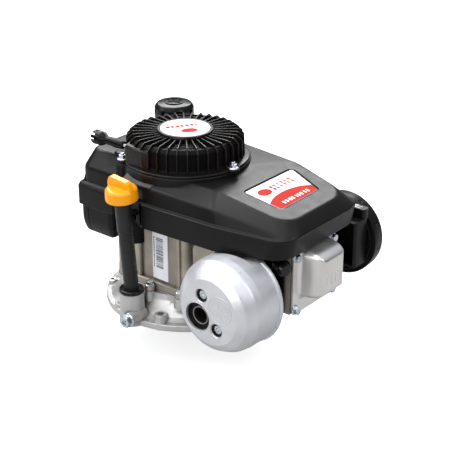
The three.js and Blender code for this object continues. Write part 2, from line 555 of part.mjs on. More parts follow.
// ---------------------------------------------------------------- silencer
const recess = [[144, 101], [167, 61]];
function mufflerShell() {
  const { x, z, face, shoulder, rear, r, faceR } = MUFFLER;
  const mid = (face + shoulder) / 2;
  const shell = turnedY([[0, face], [faceR, face], [54, mid - 2], [r, shoulder], [r, rear], [r - 2, rear],
    [r - 2, shoulder + 1], [52, mid], [faceR - 1, face + 2], [0, face + 2]], x, z, 28);
  const wells = recess.map(([wx, wz]) => barY(face + 0.5, face + 12, wx, wz, 10, 16));
  const hollows = recess.map(([wx, wz]) => barY(face - 1, face + 10, wx, wz, 8.2, 16));
  const bores = recess.map(([wx, wz]) => barY(face - 1, face + 14, wx, wz, 3.5, 12));
  const notch = block(90, 230, -104, -60, 135.5, 160);
  return cut(join(shell, ...wells), ...hollows, ...bores, barY(face - 1, face + 4, TAIL.x, TAIL.z,
    TAIL.r), notch);
}

function mufflerBack() {
  const { x, z, rear } = MUFFLER;
  const plate = turnedY([[0, rear + 0.4], [63.6, rear + 0.4], [63.6, rear + 3.8], [0, rear + 3.8]], x, z, 28);
  const pipe = barY(rear + 1, -47, 150, VALVE_Z.exhaust, 13);
  const foot = block(130, 170, -48, -44.4, 62, 100);
  return cut(join(plate, pipe, foot), barY(rear - 5, -40, 150, VALVE_Z.exhaust, 10),
    ...recess.map(([wx, wz]) => barY(rear - 5, -40, wx, wz, 3.5, 12)), block(90, 230, -104, -60, 135.5, 160));
}

piece('muffler_shell', mufflerShell(), LOOK.silverPaint);
piece('muffler_back', mufflerBack(), LOOK.silverPaint);
piece('tail_pipe', cut(barY(-134, -96, 139.5, 71.5, 12), barY(-135, -97, 139.5, 71.5, 10.4),
  barY(-98, -95, 139.5, 71.5, 6)), LOOK.iron);
recess.forEach(([x, z], i) => {
  const head = join(barY(-137, -130 - GAP, x, z, 5.6, 6), barY(-131, -130 - GAP, x, z, 7, 16),
    barY(-131, -50, x, z, 3));
  piece(`muffler_bolt_${i + 1}`, cut(head, barY(-138, -134, x, z, 2.6, 6)), LOOK.zinc);
});

// ---------------------------------------------------------------- air filter and carburettor
function airFilterBase() {
  const { x, z, rim } = FILTER;
  const plate = turnedY([[0, rim - 1], [48, rim - 1], [48, rim + 1.5], [53.5, rim + 1.5],
    [53.5, rim + 4.5], [0, rim + 4.5]],
    x, z, 24);
  const box = join(block(150, 211, 88.4, rim - 0.5, 69, 133), block(168, 211, 107, rim - 0.5, 132, 146));
  const hollow = block(153, 208, 86, rim - 2, 72, 130);
  const outlet = barY(rim - 3, rim + 6, 160, 98, 16);
  return cut(join(plate, box), hollow, outlet);
}

function airFilterCover() {
  const { x, z, rim, back, r } = FILTER;
  return turnedY([[r - 2, rim], [r, rim], [r, rim + 6], [r - 1.6, back - 2], [r - 6, back], [0, back + 2],
    [0, back - 0.5],
    [r - 7, back - 2], [r - 3.5, back - 4], [r - 2, rim]], x, z, 28);
}

function carburettor() {
  const throat = barY(51, 87.6, 150, VALVE_Z.intake, 15);
  const bowl = post(150, 70.5, 70, 104, 16.5);
  const cover = post(150, 69, 120, 129, 17);
  const spindles = [THROTTLE.y, CHOKE.y].map((y) => post(150, y, 126, 134, 2.6, 12));
  return cut(join(throat, bowl, cover), barY(50, 88, 150, VALVE_Z.intake, 9), ...spindles);
}

function lever({ y, out }) {
  return join(post(150, y, 126.5, 131, 2.2, 12), post(150, y, 130, 132.5, 4.5, 16),
    block(150 + Math.min(out, 0), 150 + Math.max(out, 0), y - 2.5, y + 2.5, 130, 132.5),
    post(150 + out, y, 130, 132.5, 3.5, 12));
}

piece('intake_spacer', cut(block(134, 168, 44.4, 50.6, 95, 131), barY(40, 55, 150, VALVE_Z.intake, 9.5)),
  LOOK.rubber);
piece('carburettor', carburettor(), LOOK.casting);
piece('throttle_lever', lever(THROTTLE), LOOK.steel);
piece('choke_lever', lever(CHOKE), LOOK.blackPlastic);
piece('air_filter_base', airFilterBase(), LOOK.blackPlastic);
piece('filter_element', cut(barY(125.2, 138, FILTER.x, FILTER.z, 47, 20),
  barY(124, 139, FILTER.x, FILTER.z, 30, 16)),
  LOOK.paper);
piece('air_filter_cover', airFilterCover(), LOOK.blackPlastic);

export default engine;
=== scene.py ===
# %% [markdown]
# A small petrol engine of the kind that turns a lawn mower blade. The measured solids come first, as
# a fixed frame in metres, and everything after this dresses them. Most visible parts are made again
# with finer curves, because a measured solid only needs to be the right size, while the eye wants
# round edges. The box round the frame is kept, and printed at the end.

# %% Load the measured frame
import math
import random

import bpy
import bmesh
from mathutils import Matrix, Vector


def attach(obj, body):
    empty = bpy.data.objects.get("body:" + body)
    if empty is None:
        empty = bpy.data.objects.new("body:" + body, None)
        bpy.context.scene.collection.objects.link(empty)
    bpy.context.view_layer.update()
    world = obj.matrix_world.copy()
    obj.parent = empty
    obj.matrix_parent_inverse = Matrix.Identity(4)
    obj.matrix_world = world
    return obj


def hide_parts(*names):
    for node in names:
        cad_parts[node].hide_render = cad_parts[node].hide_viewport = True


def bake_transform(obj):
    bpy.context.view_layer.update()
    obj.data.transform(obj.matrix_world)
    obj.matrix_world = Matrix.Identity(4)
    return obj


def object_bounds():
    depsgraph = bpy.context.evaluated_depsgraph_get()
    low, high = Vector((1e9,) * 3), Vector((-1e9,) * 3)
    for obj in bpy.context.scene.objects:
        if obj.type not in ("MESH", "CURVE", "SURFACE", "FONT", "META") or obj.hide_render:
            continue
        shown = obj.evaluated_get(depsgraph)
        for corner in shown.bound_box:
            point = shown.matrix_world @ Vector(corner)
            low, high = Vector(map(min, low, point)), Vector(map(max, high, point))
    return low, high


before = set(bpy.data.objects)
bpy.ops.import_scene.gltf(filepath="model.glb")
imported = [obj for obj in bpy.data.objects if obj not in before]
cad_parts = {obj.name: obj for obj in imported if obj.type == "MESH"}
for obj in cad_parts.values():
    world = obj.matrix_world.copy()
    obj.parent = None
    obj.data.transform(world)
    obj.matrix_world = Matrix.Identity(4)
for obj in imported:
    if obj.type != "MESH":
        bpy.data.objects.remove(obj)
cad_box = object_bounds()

MM = 0.001

# %% [markdown]
# The camera stands in front of the silencer, a little to the right, and looks down by about 25
# degrees with a long lens, so that the engine shows little perspective. The light is that of a
# product table: a broad soft sun from above and five panels. Black plastic shows only what it
# mirrors, so each panel stands where one slope of the cover looks: the flat crown mirrors the back
# panel, the long shoulder the left one, and the tank hood the one in between. The floor is pale to
# the eye but darker in reflections, and the world is dark grey, which keeps black plastic black.

# %% Camera, light and floor
scene = bpy.context.scene
scene.view_settings.view_transform = "Standard"
scene.view_settings.look = "None"

camera = bpy.data.objects.new("camera", bpy.data.cameras.new("camera"))
scene.collection.objects.link(camera)
CAMERA_PLACE = (0.9691, -1.1027, 0.7788)
LOOK_DOWN = 0.433
LOOK_LEFT = 0.685
LONG_LENS = 95.8
camera.location = CAMERA_PLACE
camera.rotation_euler = (math.pi / 2 - LOOK_DOWN, 0, LOOK_LEFT)
camera.data.lens = LONG_LENS
camera.data.sensor_width = 36
camera.data.clip_end = 50
scene.camera = camera


def panel(name, place, aim, width, height, power):
    """A soft box: a rectangle of light at a place, turned to face a point."""
    lamp = bpy.data.lights.new(name, "AREA")
    lamp.shape = "RECTANGLE"
    lamp.size, lamp.size_y, lamp.energy = width, height, power
    thing = bpy.data.objects.new(name, lamp)
    thing.location = place
    thing.rotation_euler = (Vector(aim) - Vector(place)).to_track_quat("-Z", "Y").to_euler()
    scene.collection.objects.link(thing)
    return thing


CENTRE = (0.05, 0, 0.1)
sun = bpy.data.lights.new("sky_light", "SUN")
sun.energy, sun.angle = 1.5, math.radians(60)
sun_object = bpy.data.objects.new("sky_light", sun)
sun_object.rotation_euler = (math.radians(12), math.radians(-8), 0)
scene.collection.objects.link(sun_object)
panel("back_panel", (-0.9, 1.3, 1.25), CENTRE, 1.5, 0.55, 27)
panel("left_panel", (-1.2, 0.0, 1.6), CENTRE, 0.9, 0.8, 18)
panel("right_panel", (1.5, 0.0, 1.1), CENTRE, 0.5, 0.8, 5)
panel("front_panel", (0.4, -1.8, 0.8), CENTRE, 1.7, 0.9, 13)
panel("left_front_panel", (-1.2, -1.15, 1.1), CENTRE, 0.6, 0.45, 5.5)

world = bpy.data.worlds.new("studio")
world.use_nodes = True
sky = world.node_tree
way = sky.nodes.new("ShaderNodeTexCoord")
split = sky.nodes.new("ShaderNodeSeparateXYZ")
shades = sky.nodes.new("ShaderNodeValToRGB")
sky.links.new(way.outputs["Generated"], split.inputs["Vector"])
sky.links.new(split.outputs["Z"], shades.inputs["Fac"])
sky.links.new(shades.outputs["Color"], sky.nodes["Background"].inputs["Color"])
shades.color_ramp.elements[0].color = (0.05, 0.045, 0.04, 1)
shades.color_ramp.elements[1].position = 0.75
shades.color_ramp.elements[1].color = (0.80, 0.84, 0.92, 1)
middle = shades.color_ramp.elements.new(0.30)
middle.color = (0.16, 0.165, 0.18, 1)
scene.world = world

floor_mesh = bpy.data.meshes.new("floor")
FLOOR, REACH = cad_box[0].z - 0.0005, 8
floor_mesh.from_pydata([(-REACH, -REACH, FLOOR), (REACH, -REACH, FLOOR), (REACH, REACH, FLOOR),
                        (-REACH, REACH, FLOOR)],
                       [], [(0, 1, 2, 3)])
floor = bpy.data.objects.new("floor", floor_mesh)
scene.collection.objects.link(floor)
paper = bpy.data.materials.new("backdrop_paper")
paper.use_nodes = True
sheet = paper.node_tree.nodes["Principled BSDF"]
sheet.inputs["Roughness"].default_value = 0.9
sheet.inputs["Specular IOR Level"].default_value = 0.1
sheet.inputs["Emission Color"].default_value = (1, 1, 1, 1)
seen = paper.node_tree.nodes.new("ShaderNodeLightPath")
tones = paper.node_tree.nodes.new("ShaderNodeMix")
tones.data_type = "RGBA"
tones.inputs[6].default_value = (0.5, 0.5, 0.5, 1)
tones.inputs[7].default_value = (0.38, 0.375, 0.37, 1)
paper.node_tree.links.new(seen.outputs["Is Glossy Ray"], tones.inputs[0])
paper.node_tree.links.new(tones.outputs[2], sheet.inputs["Base Color"])
glow = paper.node_tree.nodes.new("ShaderNodeMath")
glow.operation = "MULTIPLY"
glow.inputs[1].default_value = 0.72
paper.node_tree.links.new(seen.outputs["Is Camera Ray"], glow.inputs[0])
paper.node_tree.links.new(glow.outputs[0], sheet.inputs["Emission Strength"])
floor_mesh.materials.append(paper)
print("floor at", round(FLOOR, 4))

# %% [markdown]
# Every finish here is a recipe of nodes. Three noises do most of the work: a slow one shades the
# colour, a middling one makes some patches duller than others, and a fine one raises the grain.
# Sizes are given in millimetres, because a texture looks wrong as soon as its scale is wrong.
# Crevices may be darkened with painted shade, found by how closed in a point is. Colours are linear, not as on
# a screen.

# %% The finish recipe
def add_node(tree, kind, **settings):
    made = tree.nodes.new(kind)
    for key, value in settings.items():
        setattr(made, key, value)
    return made


def noise(tree, size_mm, detail=3, stretch=None):
    """Noise whose lumps are about size_mm across, in the object's own space."""
    place = add_node(tree, "ShaderNodeTexCoord").outputs["Object"]
    if stretch:
        scaler = add_node(tree, "ShaderNodeMapping")
        scaler.inputs["Scale"].default_value = stretch
        tree.links.new(place, scaler.inputs["Vector"])
        place = scaler.outputs["Vector"]
    made = add_node(tree, "ShaderNodeTexNoise")
    made.inputs["Scale"].default_value = 1 / (size_mm * MM)
    made.inputs["Detail"].default_value = detail
    tree.links.new(place, made.inputs["Vector"])
    return made.outputs["Fac"]


def between(tree, factor, low, high, from_low=0.3, from_high=0.7):
    """The factor, stretched from its usual middle range to low..high."""
    made = add_node(tree, "ShaderNodeMapRange")
    for key, value in (("From Min", from_low), ("From Max", from_high), ("To Min", low), ("To Max", high)):
        made.inputs[key].default_value = value
    tree.links.new(factor, made.inputs["Value"])
    return made.outputs["Result"]


def mixed(tree, factor, first, second):
    """Two colours mixed by a factor. Each colour is a value or a socket."""
    made = add_node(tree, "ShaderNodeMix", data_type="RGBA")
    tree.links.new(factor, made.inputs["Factor"])
    for key, colour in ((6, first), (7, second)):
        if isinstance(colour, tuple):
            made.inputs[key].default_value = (*colour, 1)
        else:
            tree.links.new(colour, made.inputs[key])
    return made.outputs[2]


def raised(tree, height, depth_mm, under=None):
    """A height turned into a bump that is depth_mm deep, over another bump if one is given."""
    made = add_node(tree, "ShaderNodeBump")
    made.inputs["Distance"].default_value = depth_mm * MM
    tree.links.new(height, made.inputs["Height"])
    if under is not None:
        tree.links.new(under, made.inputs["Normal"])
    return made.outputs["Normal"]


def finish(name, colour, shade, rough, metal=0.0, mottle=18, grain=0.5, relief=0.02, swing=0.07,
           lumps=None, coat=0.0, specular=0.5, painted_crevice_shade=None, stretch=None):
    """A surface: two near colours, a roughness that wanders by swing, and grain of a given size and depth."""
    made = bpy.data.materials.new(name)
    made.use_nodes = True
    tree = made.node_tree
    shader = tree.nodes["Principled BSDF"]
    shader.inputs["Metallic"].default_value = metal
    shader.inputs["Specular IOR Level"].default_value = specular
    shader.inputs["Coat Weight"].default_value = coat
    tint = mixed(tree, between(tree, noise(tree, mottle, 4), 0, 1), colour, shade)
    # Painted shade: where ambient occlusion finds a crevice, the colour darkens towards the given shade
    # colour.
    if painted_crevice_shade:
        closed = add_node(tree, "ShaderNodeAmbientOcclusion", samples=6)
        closed.inputs["Distance"].default_value = 0.006
        tint = mixed(tree, between(tree, closed.outputs["AO"], 1, 0, 0.25, 0.85), tint, painted_crevice_shade)
    tree.links.new(tint, shader.inputs["Base Color"])
    tree.links.new(between(tree, noise(tree, mottle / 3, 3, stretch), rough - swing, rough + swing),
                   shader.inputs["Roughness"])
    bump = raised(tree, noise(tree, grain, 2, stretch), relief)
    if lumps:
        bump = raised(tree, noise(tree, lumps[0], 2), lumps[1], bump)
    tree.links.new(bump, shader.inputs["Normal"])
    return made


# %% [markdown]
# Black plastic shows itself only in its reflections, so the cover gets the fine spark-eroded grain
# of a steel mould, and the starter a smoother skin. The bright metals differ in the same way: a
# cast wall has coarse sand-like grain, a plated screw almost none, and silver paint has flakes.

# %% Finishes of this engine
COVER_BLACK = finish("cover_black", (0.0050, 0.0046, 0.0042), (0.0068, 0.0062, 0.0058), 0.36, grain=0.5,
                     relief=0.012, specular=0.2, mottle=40, swing=0.04)
STARTER_BLACK = finish("starter_black", (0.0050, 0.0038, 0.0032), (0.0075, 0.0058, 0.0048), 0.30, grain=0.8,
                       relief=0.010, mottle=30, specular=0.26, swing=0.05)
# A darker, duller copy of the black plastic: painted shade for parts and sheets that sit in shadow.
SHADE_BLACK = finish("shaded_black", (0.0014, 0.0011, 0.0010), (0.0022, 0.0018, 0.0016), 0.5, grain=0.8,
                    relief=0.010, mottle=30, specular=0.08)
# The tank's black is darker than the cover's, partly its own glossier black and partly painted shade, as it
# sits under the hood's lip.
TANK_BLACK = finish("tank_black", (0.0024, 0.0022, 0.0021), (0.0040, 0.0037, 0.0036), 0.26, grain=0.9,
                    relief=0.015,
                    mottle=45, specular=0.22)
TUBE_BLACK = finish("tube_black", (0.011, 0.011, 0.0115), (0.016, 0.016, 0.0165), 0.42, grain=0.6,
                    relief=0.010,
                    specular=0.3)
RUBBER = finish("boot_rubber", (0.003, 0.003, 0.003), (0.006, 0.006, 0.006), 0.24, grain=0.7, relief=0.006,
                specular=0.4)
# Painted shade darkens the crevices of this cast wall.
CAST_METAL = finish("cast_metal", (0.47, 0.42, 0.355), (0.34, 0.30, 0.25), 0.42, metal=0.6, mottle=22,
                    grain=0.7,
                    relief=0.05, lumps=(4, 0.12), painted_crevice_shade=(0.12, 0.10, 0.085))
# Painted shade darkens the crevices of the sump as well.
SUMP_METAL = finish("sump_metal", (0.58, 0.575, 0.565), (0.44, 0.43, 0.415), 0.36, metal=0.65, mottle=26,
                    grain=0.8,
                    relief=0.04, lumps=(5, 0.10), painted_crevice_shade=(0.20, 0.18, 0.16))
SILVER = finish("silver_paint", (0.71, 0.715, 0.735), (0.61, 0.615, 0.635), 0.38, metal=0.6, mottle=35,
                grain=1.0,
                relief=0.035)
PRESSED = finish("pressed_metal", (0.80, 0.785, 0.755), (0.74, 0.725, 0.695), 0.34, metal=0.92, mottle=40,
                 grain=1.2,
                 relief=0.002, swing=0.04)
ZINC = finish("zinc_plate", (0.68, 0.73, 0.78), (0.58, 0.62, 0.66), 0.24, metal=1.0, mottle=5, grain=0.4,
              relief=0.008)
STEEL = finish("ground_steel", (0.52, 0.52, 0.53), (0.42, 0.42, 0.43), 0.27, metal=1.0, mottle=8, grain=0.3,
               relief=0.008, stretch=(1, 1, 12))
IRON = finish("cast_iron", (0.16, 0.16, 0.165), (0.11, 0.105, 0.10), 0.55, metal=0.8, mottle=12, grain=0.8,
              relief=0.05)
YELLOW = finish("cap_yellow", (0.95, 0.37, 0.0), (0.86, 0.31, 0.0), 0.2, mottle=16, grain=0.6, relief=0.003,
                specular=0.4, swing=0.04)
GRIP_BLACK = finish("grip_black", (0.002, 0.002, 0.002), (0.004, 0.004, 0.004), 0.22, mottle=20, grain=0.8,
                    relief=0.004, specular=0.14, swing=0.04)
WHITE_PRINT = finish("white_print", (0.90, 0.90, 0.93), (0.86, 0.86, 0.90), 0.32, mottle=20, grain=0.5,
                     relief=0.004,
                     specular=0.3)
RED_PRINT = finish("red_print", (0.46, 0.016, 0.005), (0.41, 0.013, 0.004), 0.5, mottle=20, grain=0.5,
                   relief=0.004,
                   specular=0.05)
GREY_PRINT = finish("grey_print", (0.10, 0.10, 0.12), (0.16, 0.16, 0.18), 0.5, mottle=6, grain=0.5,
                    relief=0.004)
GASKET = finish("gasket_fibre", (0.22, 0.085, 0.06), (0.15, 0.06, 0.045), 0.75, mottle=3, grain=0.3,
                relief=0.03)
FILTER_PAPER = finish("filter_paper", (0.66, 0.58, 0.38), (0.58, 0.50, 0.32), 0.85, mottle=4, grain=0.3,
                      relief=0.03)
ROPE = finish("starter_cord", (0.80, 0.79, 0.75), (0.62, 0.60, 0.56), 0.8, mottle=1.5, grain=0.5, relief=0.15,
              stretch=(1, 3, 3))
TAIL_STEEL = finish("outlet_steel", (0.30, 0.285, 0.26), (0.18, 0.165, 0.15), 0.34, metal=1.0, mottle=5,
                    grain=0.5,
                    relief=0.03)
# Dark steel for the linings of the silencer's screw wells: painted shade deep in the wells.
WELL_SHADE = finish("well_shade_steel", (0.035, 0.033, 0.031), (0.07, 0.062, 0.055), 0.6, metal=0.7, mottle=5, grain=0.5,
              relief=0.04)
print("finishes:", len(bpy.data.materials))

# %% [markdown]
# Each piece starts as an outline. A moulded or cast part has no sharp corners in plan, so corners
# are given with a radius and become true arcs. Keeping the number of points in each arc the same
# lets outlines at different heights be joined point to point, which is how the covers are made.

# %% Outlines
def rounded(corners, steps=6, closed=True):
    """Corners (x, y, radius) as points, each corner with a radius an arc of steps + 1 points."""
    points = []
    for i, corner in enumerate(corners):
        here = Vector(corner[:2])
        radius = corner[2] if len(corner) > 2 else 0
        if radius <= 0 or (not closed and i in (0, len(corners) - 1)):
            points.append(here)
            continue
        back = Vector(corners[i - 1][:2]) - here
        on = Vector(corners[(i + 1) % len(corners)][:2]) - here
        half = back.angle(on) / 2
        reach = min(radius / math.tan(half), 0.49 * back.length, 0.49 * on.length)
        if reach < 1e-6:
            points += [here.copy() for _ in range(steps + 1)]
            continue
        radius = reach * math.tan(half)
        back.normalize()
        on.normalize()
        centre = here + (back + on).normalized() * (radius / math.sin(half))
        start = here + back * reach - centre
        turn = start.angle_signed(here + on * reach - centre)
        points += [centre + Matrix.Rotation(-turn * s / steps, 2) @ start for s in range(steps + 1)]
    return [(p.x, p.y) for p in points]


def inset(corners, d):
    """The same corners moved inwards by d. The outline runs counter-clockwise."""
    moved = []
    for i, (x, y, r) in enumerate(corners):
        before, after = corners[i - 1], corners[(i + 1) % len(corners)]
        u = Vector((x - before[0], y - before[1])).normalized()
        v = Vector((after[0] - x, after[1] - y)).normalized()
        n = Vector((-u.y - v.y, u.x + v.x)) * (d / (1 + u.dot(v)))
        moved.append((x + n.x, y + n.y, max(r - d, 0.6)))
    return moved


def level(outline, z):
    """An outline set at a height, which may depend on x."""
    return [(x, y, z(x) if callable(z) else z) for x, y in outline]


def circle(r, count=48, x=0, y=0):
    return [(x + r * math.cos(math.tau * i / count), y + r * math.sin(math.tau * i / count))
            for i in range(count)]


def polar(r, degrees):
    return r * math.cos(math.radians(degrees)), r * math.sin(math.radians(degrees))


# %% [markdown]
# A shape is kept as plain points and faces in millimetres until it is finished. Turning a profile
# gives round parts, and lofting joins a stack of outlines. Softening rounds the steps of such a
# stack, as a mould maker's cutter would. Solids are joined and cut exactly, so that a hole has walls.

# %% Shapes from outlines
def turned(profile, steps=64, closed=False, arc=4):
    """A profile of (radius, height, fillet) spun round Z."""
    rows, points = [], []
    for r, h in rounded([(r + 0.0, *rest) for r, *rest in profile], arc, closed):
        if r < 1e-6:
            rows.append([len(points)])
            points.append((0, 0, h))
        else:
            rows.append(list(range(len(points), len(points) + steps)))
            points += [(x, y, h) for x, y in circle(r, steps)]
    faces = []
    for a, b in zip(rows, rows[1:] + (rows[:1] if closed else [])):
        if len(a) == 1 and len(b) == 1:
            continue
        for s in range(steps):
            t = (s + 1) % steps
            corners = [a[s % len(a)], a[t % len(a)], b[t % len(b)], b[s % len(b)]]
            faces.append(tuple(dict.fromkeys(corners)))
    return points, faces


def loft(rings, caps=True):
    """A skin through rings of points with equal counts, closed at both ends."""
    n = len(rings[0])
    points = [tuple(p) for ring in rings for p in ring]
    faces = [(k * n + i, k * n + (i + 1) % n, (k + 1) * n + (i + 1) % n, (k + 1) * n + i)
             for k in range(len(rings) - 1) for i in range(n)]
    if caps:
        faces.append(tuple(range(n))[::-1])
        faces.append(tuple(range((len(rings) - 1) * n, len(rings) * n)))
    return points, faces


def softened(rings, radii, steps=4):
    """Rings whose steps are rounded: radii holds one radius for each ring, 0 where it stays sharp."""
    result = []
    for k, ring in enumerate(rings):
        if not radii[k] or k in (0, len(rings) - 1):
            result.append([Vector(p) for p in ring])
            continue
        for s in range(steps + 1):
            t = s / steps
            row = []
            for before, here, after in zip(rings[k - 1], ring, rings[k + 1]):
                here = Vector(here)
                back, on = Vector(before) - here, Vector(after) - here
                start = here + back * min(radii[k] / max(back.length, 1e-6), 0.45)
                end = here + on * min(radii[k] / max(on.length, 1e-6), 0.45)
                row.append(start * (1 - t) ** 2 + here * 2 * t * (1 - t) + end * t * t)
            result.append(row)
    return result


def pulled(outline, z0, z1):
    return loft([level(outline, z0), level(outline, z1)])


def slab(x0, x1, y0, y1, z0, z1, r=0.0, steps=3):
    """A block, with its upright corners rounded if a radius is given."""
    return pulled(rounded([(x0, y0, r), (x1, y0, r), (x1, y1, r), (x0, y1, r)], steps), z0, z1)


LIE = {"Z": Matrix.Identity(3), "Y": Matrix.Rotation(-math.pi / 2, 3, "X"),
       "X": Matrix.Rotation(math.pi / 2, 3, "Y")}


def placed(shape, at=(0, 0, 0), axis="Z", turn=0.0):
    """A shape made along Z, laid along another axis or direction, after a turn about its own."""
    lie = LIE[axis] if isinstance(axis, str) else Vector(axis).to_track_quat("Z", "Y").to_matrix()
    matrix = lie @ Matrix.Rotation(math.radians(turn), 3, "Z")
    return [tuple(matrix @ Vector(p) + Vector(at)) for p in shape[0]], shape[1]


def merged(*shapes):
    points, faces = [], []
    for some_points, some_faces in shapes:
        faces += [tuple(i + len(points) for i in face) for face in some_faces]
        points += some_points
    return points, faces


def as_object(shape, name="work"):
    mesh = bpy.data.meshes.new(name)
    mesh.from_pydata([[c * MM for c in p] for p in shape[0]], [], shape[1])
    form = bmesh.new()
    form.from_mesh(mesh)
    bmesh.ops.remove_doubles(form, verts=form.verts, dist=2e-7)
    bmesh.ops.dissolve_degenerate(form, dist=1e-7, edges=form.edges)
    bmesh.ops.recalc_face_normals(form, faces=form.faces)
    form.to_mesh(mesh)
    form.free()
    thing = bpy.data.objects.new(name, mesh)
    scene.collection.objects.link(thing)
    return thing


def carved(shape, joins=(), cuts=()):
    """The shape with others joined on, and then others cut away, all as exact solids."""
    work = as_object(shape)
    helpers = []
    for operation, tools in (("UNION", joins), ("DIFFERENCE", cuts)):
        for tool in tools:
            helpers.append(as_object(tool, "tool"))
            step = work.modifiers.new("solid", "BOOLEAN")
            step.operation, step.solver, step.object = operation, "MANIFOLD", helpers[-1]
    result = bpy.data.meshes.new_from_object(work.evaluated_get(bpy.context.evaluated_depsgraph_get()))
    if not result.polygons:
        for step in work.modifiers:
            step.solver = "EXACT"
        result = bpy.data.meshes.new_from_object(work.evaluated_get(bpy.context.evaluated_depsgraph_get()))
        print("exact solver used")
    made = [tuple(v.co / MM) for v in result.vertices], [tuple(f.vertices) for f in result.polygons]
    for thing in [work, *helpers]:
        bpy.data.objects.remove(thing)
    bpy.data.meshes.remove(result)
    return made


def piece(name, shape, surface, body="root", instead=(), edge=0.0, sharp=34, rows=2):
    """A finished piece of the engine: smooth faces, crisp or rounded edges, a finish and a body to ride on."""
    thing = as_object(shape, name)
    thing.data.polygons.foreach_set("use_smooth", [True] * len(thing.data.polygons))
    if edge:
        bevel = thing.modifiers.new("round_edges", "BEVEL")
        bevel.width, bevel.segments, bevel.limit_method = edge * MM, rows, "ANGLE"
        bevel.angle_limit = math.radians(sharp)
        bevel.harden_normals = True
        bevel.use_clamp_overlap = True
    else:
        thing.data.set_sharp_from_angle(angle=math.radians(sharp))
    thing.data.materials.append(surface)
    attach(thing, body)
    if instead:
        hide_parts(*instead)
    print(name, len(thing.data.polygons), "faces")
    return thing


def moulded(thing, voxel=0.7, turns=4):
    """Melts the joints of a solid together, as the radius in a mould does."""
    remesh = thing.modifiers.new("melt", "REMESH")
    remesh.mode, remesh.voxel_size, remesh.use_smooth_shade = "VOXEL", voxel * MM, True
    smooth = thing.modifiers.new("flow", "SMOOTH")
    smooth.factor, smooth.iterations = 0.5, turns
    return thing

# %% [markdown]
# The black cover is one injection moulding. It is drawn as a stack of five outlines: the foot of the
# skirt, the top of the skirt, the ledge above it, the foot of the sloping shoulder, and the edge of
# the flat crown. The steps between them are softened, and rings shrink to the middle of the crown.

# %% Outlines of the cover
LEFT = -84
skirt = [(LEFT, -58, 8), (-44, -68, 10), (12, -100, 8), (128, -94, 60), (217, -77, 30), (215, 90, 34),
         (120, 106, 60), (LEFT, 118, 14)]
skirt_top = [(LEFT, -58, 8), (-44, -68, 10), (11, -99, 8), (126, -92.5, 60), (223, -76, 30), (221, 88, 34),
             (120, 105, 60), (LEFT, 117, 14)]
ledge = [(LEFT, -56, 8), (-44, -64, 10), (8, -93, 8), (120, -87, 60), (224, -73, 28), (222, 86, 34),
         (120, 102, 60), (LEFT, 114, 14)]
shoulder = [(LEFT, -55, 8), (-44, -62, 10), (4, -91, 8), (116, -83.5, 60), (224, -67, 26), (225, 74, 34),
            (120, 101, 60), (LEFT, 112, 14)]
crown = [(LEFT, -50, 8), (-46, -52, 10), (-6, -68, 8), (96, -55, 60), (211, -60, 22), (210, 62, 40),
         (118, 87, 60), (LEFT, 96, 12)]
hood_lip = [(-132, -74, 7), (-64, -74, 3), (-64, 116, 10), (-132, 116, 20)]
hood_wall = [(-129, -68, 16), (-63, -68, 3), (-63, 111, 10), (-129, 111, 18)]
hood_lid = [(-121, -51, 12), (-62, -51, 3), (-62, 100, 10), (-121, 100, 16)]
ARC = 9


def skirt_foot(x):
    t = min(max((x - 120) / 70, 0), 1)
    return 137 + 5 * t * t * (3 - 2 * t)


def shoulder_foot(x):
    return min(189.3, 192 - 0.13 * (x - 60))


def crown_top(x):
    return min(203, 203 - 0.093 * (x - 30))


def ring(corners, z, steps=ARC):
    return level(rounded(corners, steps), z)


def closing(outer, z, centre, shares=(0.93, 0.8, 0.62, 0.42, 0.2, 0.05)):
    """Rings that shrink from an outline to a point, on a surface."""
    return [[(centre[0] + (x - centre[0]) * k, centre[1] + (y - centre[1]) * k,
              z(centre[0] + (x - centre[0]) * k) if callable(z) else z) for x, y, _ in outer] for k in shares]


# %% Cover shell
crown_ring = ring(crown, crown_top)
stack = [ring(skirt, skirt_foot), ring(skirt_top, 168), ring(ledge, 168.8), ring(shoulder, shoulder_foot),
         crown_ring]
stack += closing(crown_ring, crown_top, (60, 8))
outside = loft(softened(stack, [0, 1.8, 0.8, 3.5, 3.5] + [0] * 6, 5))
brow_plan = [(-31, -60, 2), (-31, -92.5, 3), (20, -90.5, 3), (20, -60, 2)]
brow_top = [(-31, -50, 2), (-31, -69, 3), (20, -66, 3), (20, -50, 2)]
brow = loft(softened([ring(brow_plan, 170), ring(brow_plan, 189.3), ring(brow_top, 202.5)], [0, 1.6, 0]))
brow_space = loft([ring(inset(brow_plan, 3), 169), ring(inset(brow_plan, 3), 187),
                   ring(inset(brow_top, 3), 199.5)])
inside = loft([ring(inset(skirt, 2.6), 120), ring(inset(skirt, 2.6), 150), ring(inset(ledge, 3.6), 165),
               ring(inset(shoulder, 3.6), lambda x: shoulder_foot(x) - 2.5),
               ring(inset(crown, 2.6), lambda x: crown_top(x) - 3)])
lid_ring = ring(hood_lid, 200)
hood = loft(softened([ring(hood_lip, 124), ring(hood_lip, 150), ring(inset(hood_lip, 2.6), 154.5),
                      ring(hood_wall, 157),
                      ring(hood_wall, 177), lid_ring] + closing(lid_ring, 200, (-92, 25), (0.8, 0.4, 0.05)),
                     [0, 1.4, 0.8, 1.2, 4, 4, 0, 0, 0], 5))
hood_inside = loft([ring(inset(hood_lip, 2.5), 118), ring(inset(hood_lip, 2.5), 151),
                    ring(inset(hood_wall, 3), 155),
                    ring(inset(hood_wall, 3), 175), ring(inset(hood_lid, 3), 197)])
pedestal = turned([(0, 186), (85.5, 186), (85.5, 203, 1.2), (0, 203)], 128)
badge_plan = [(124, -31, 2.5), (182.5, -34, 5), (181, 43, 5), (124, 66, 2.5)]
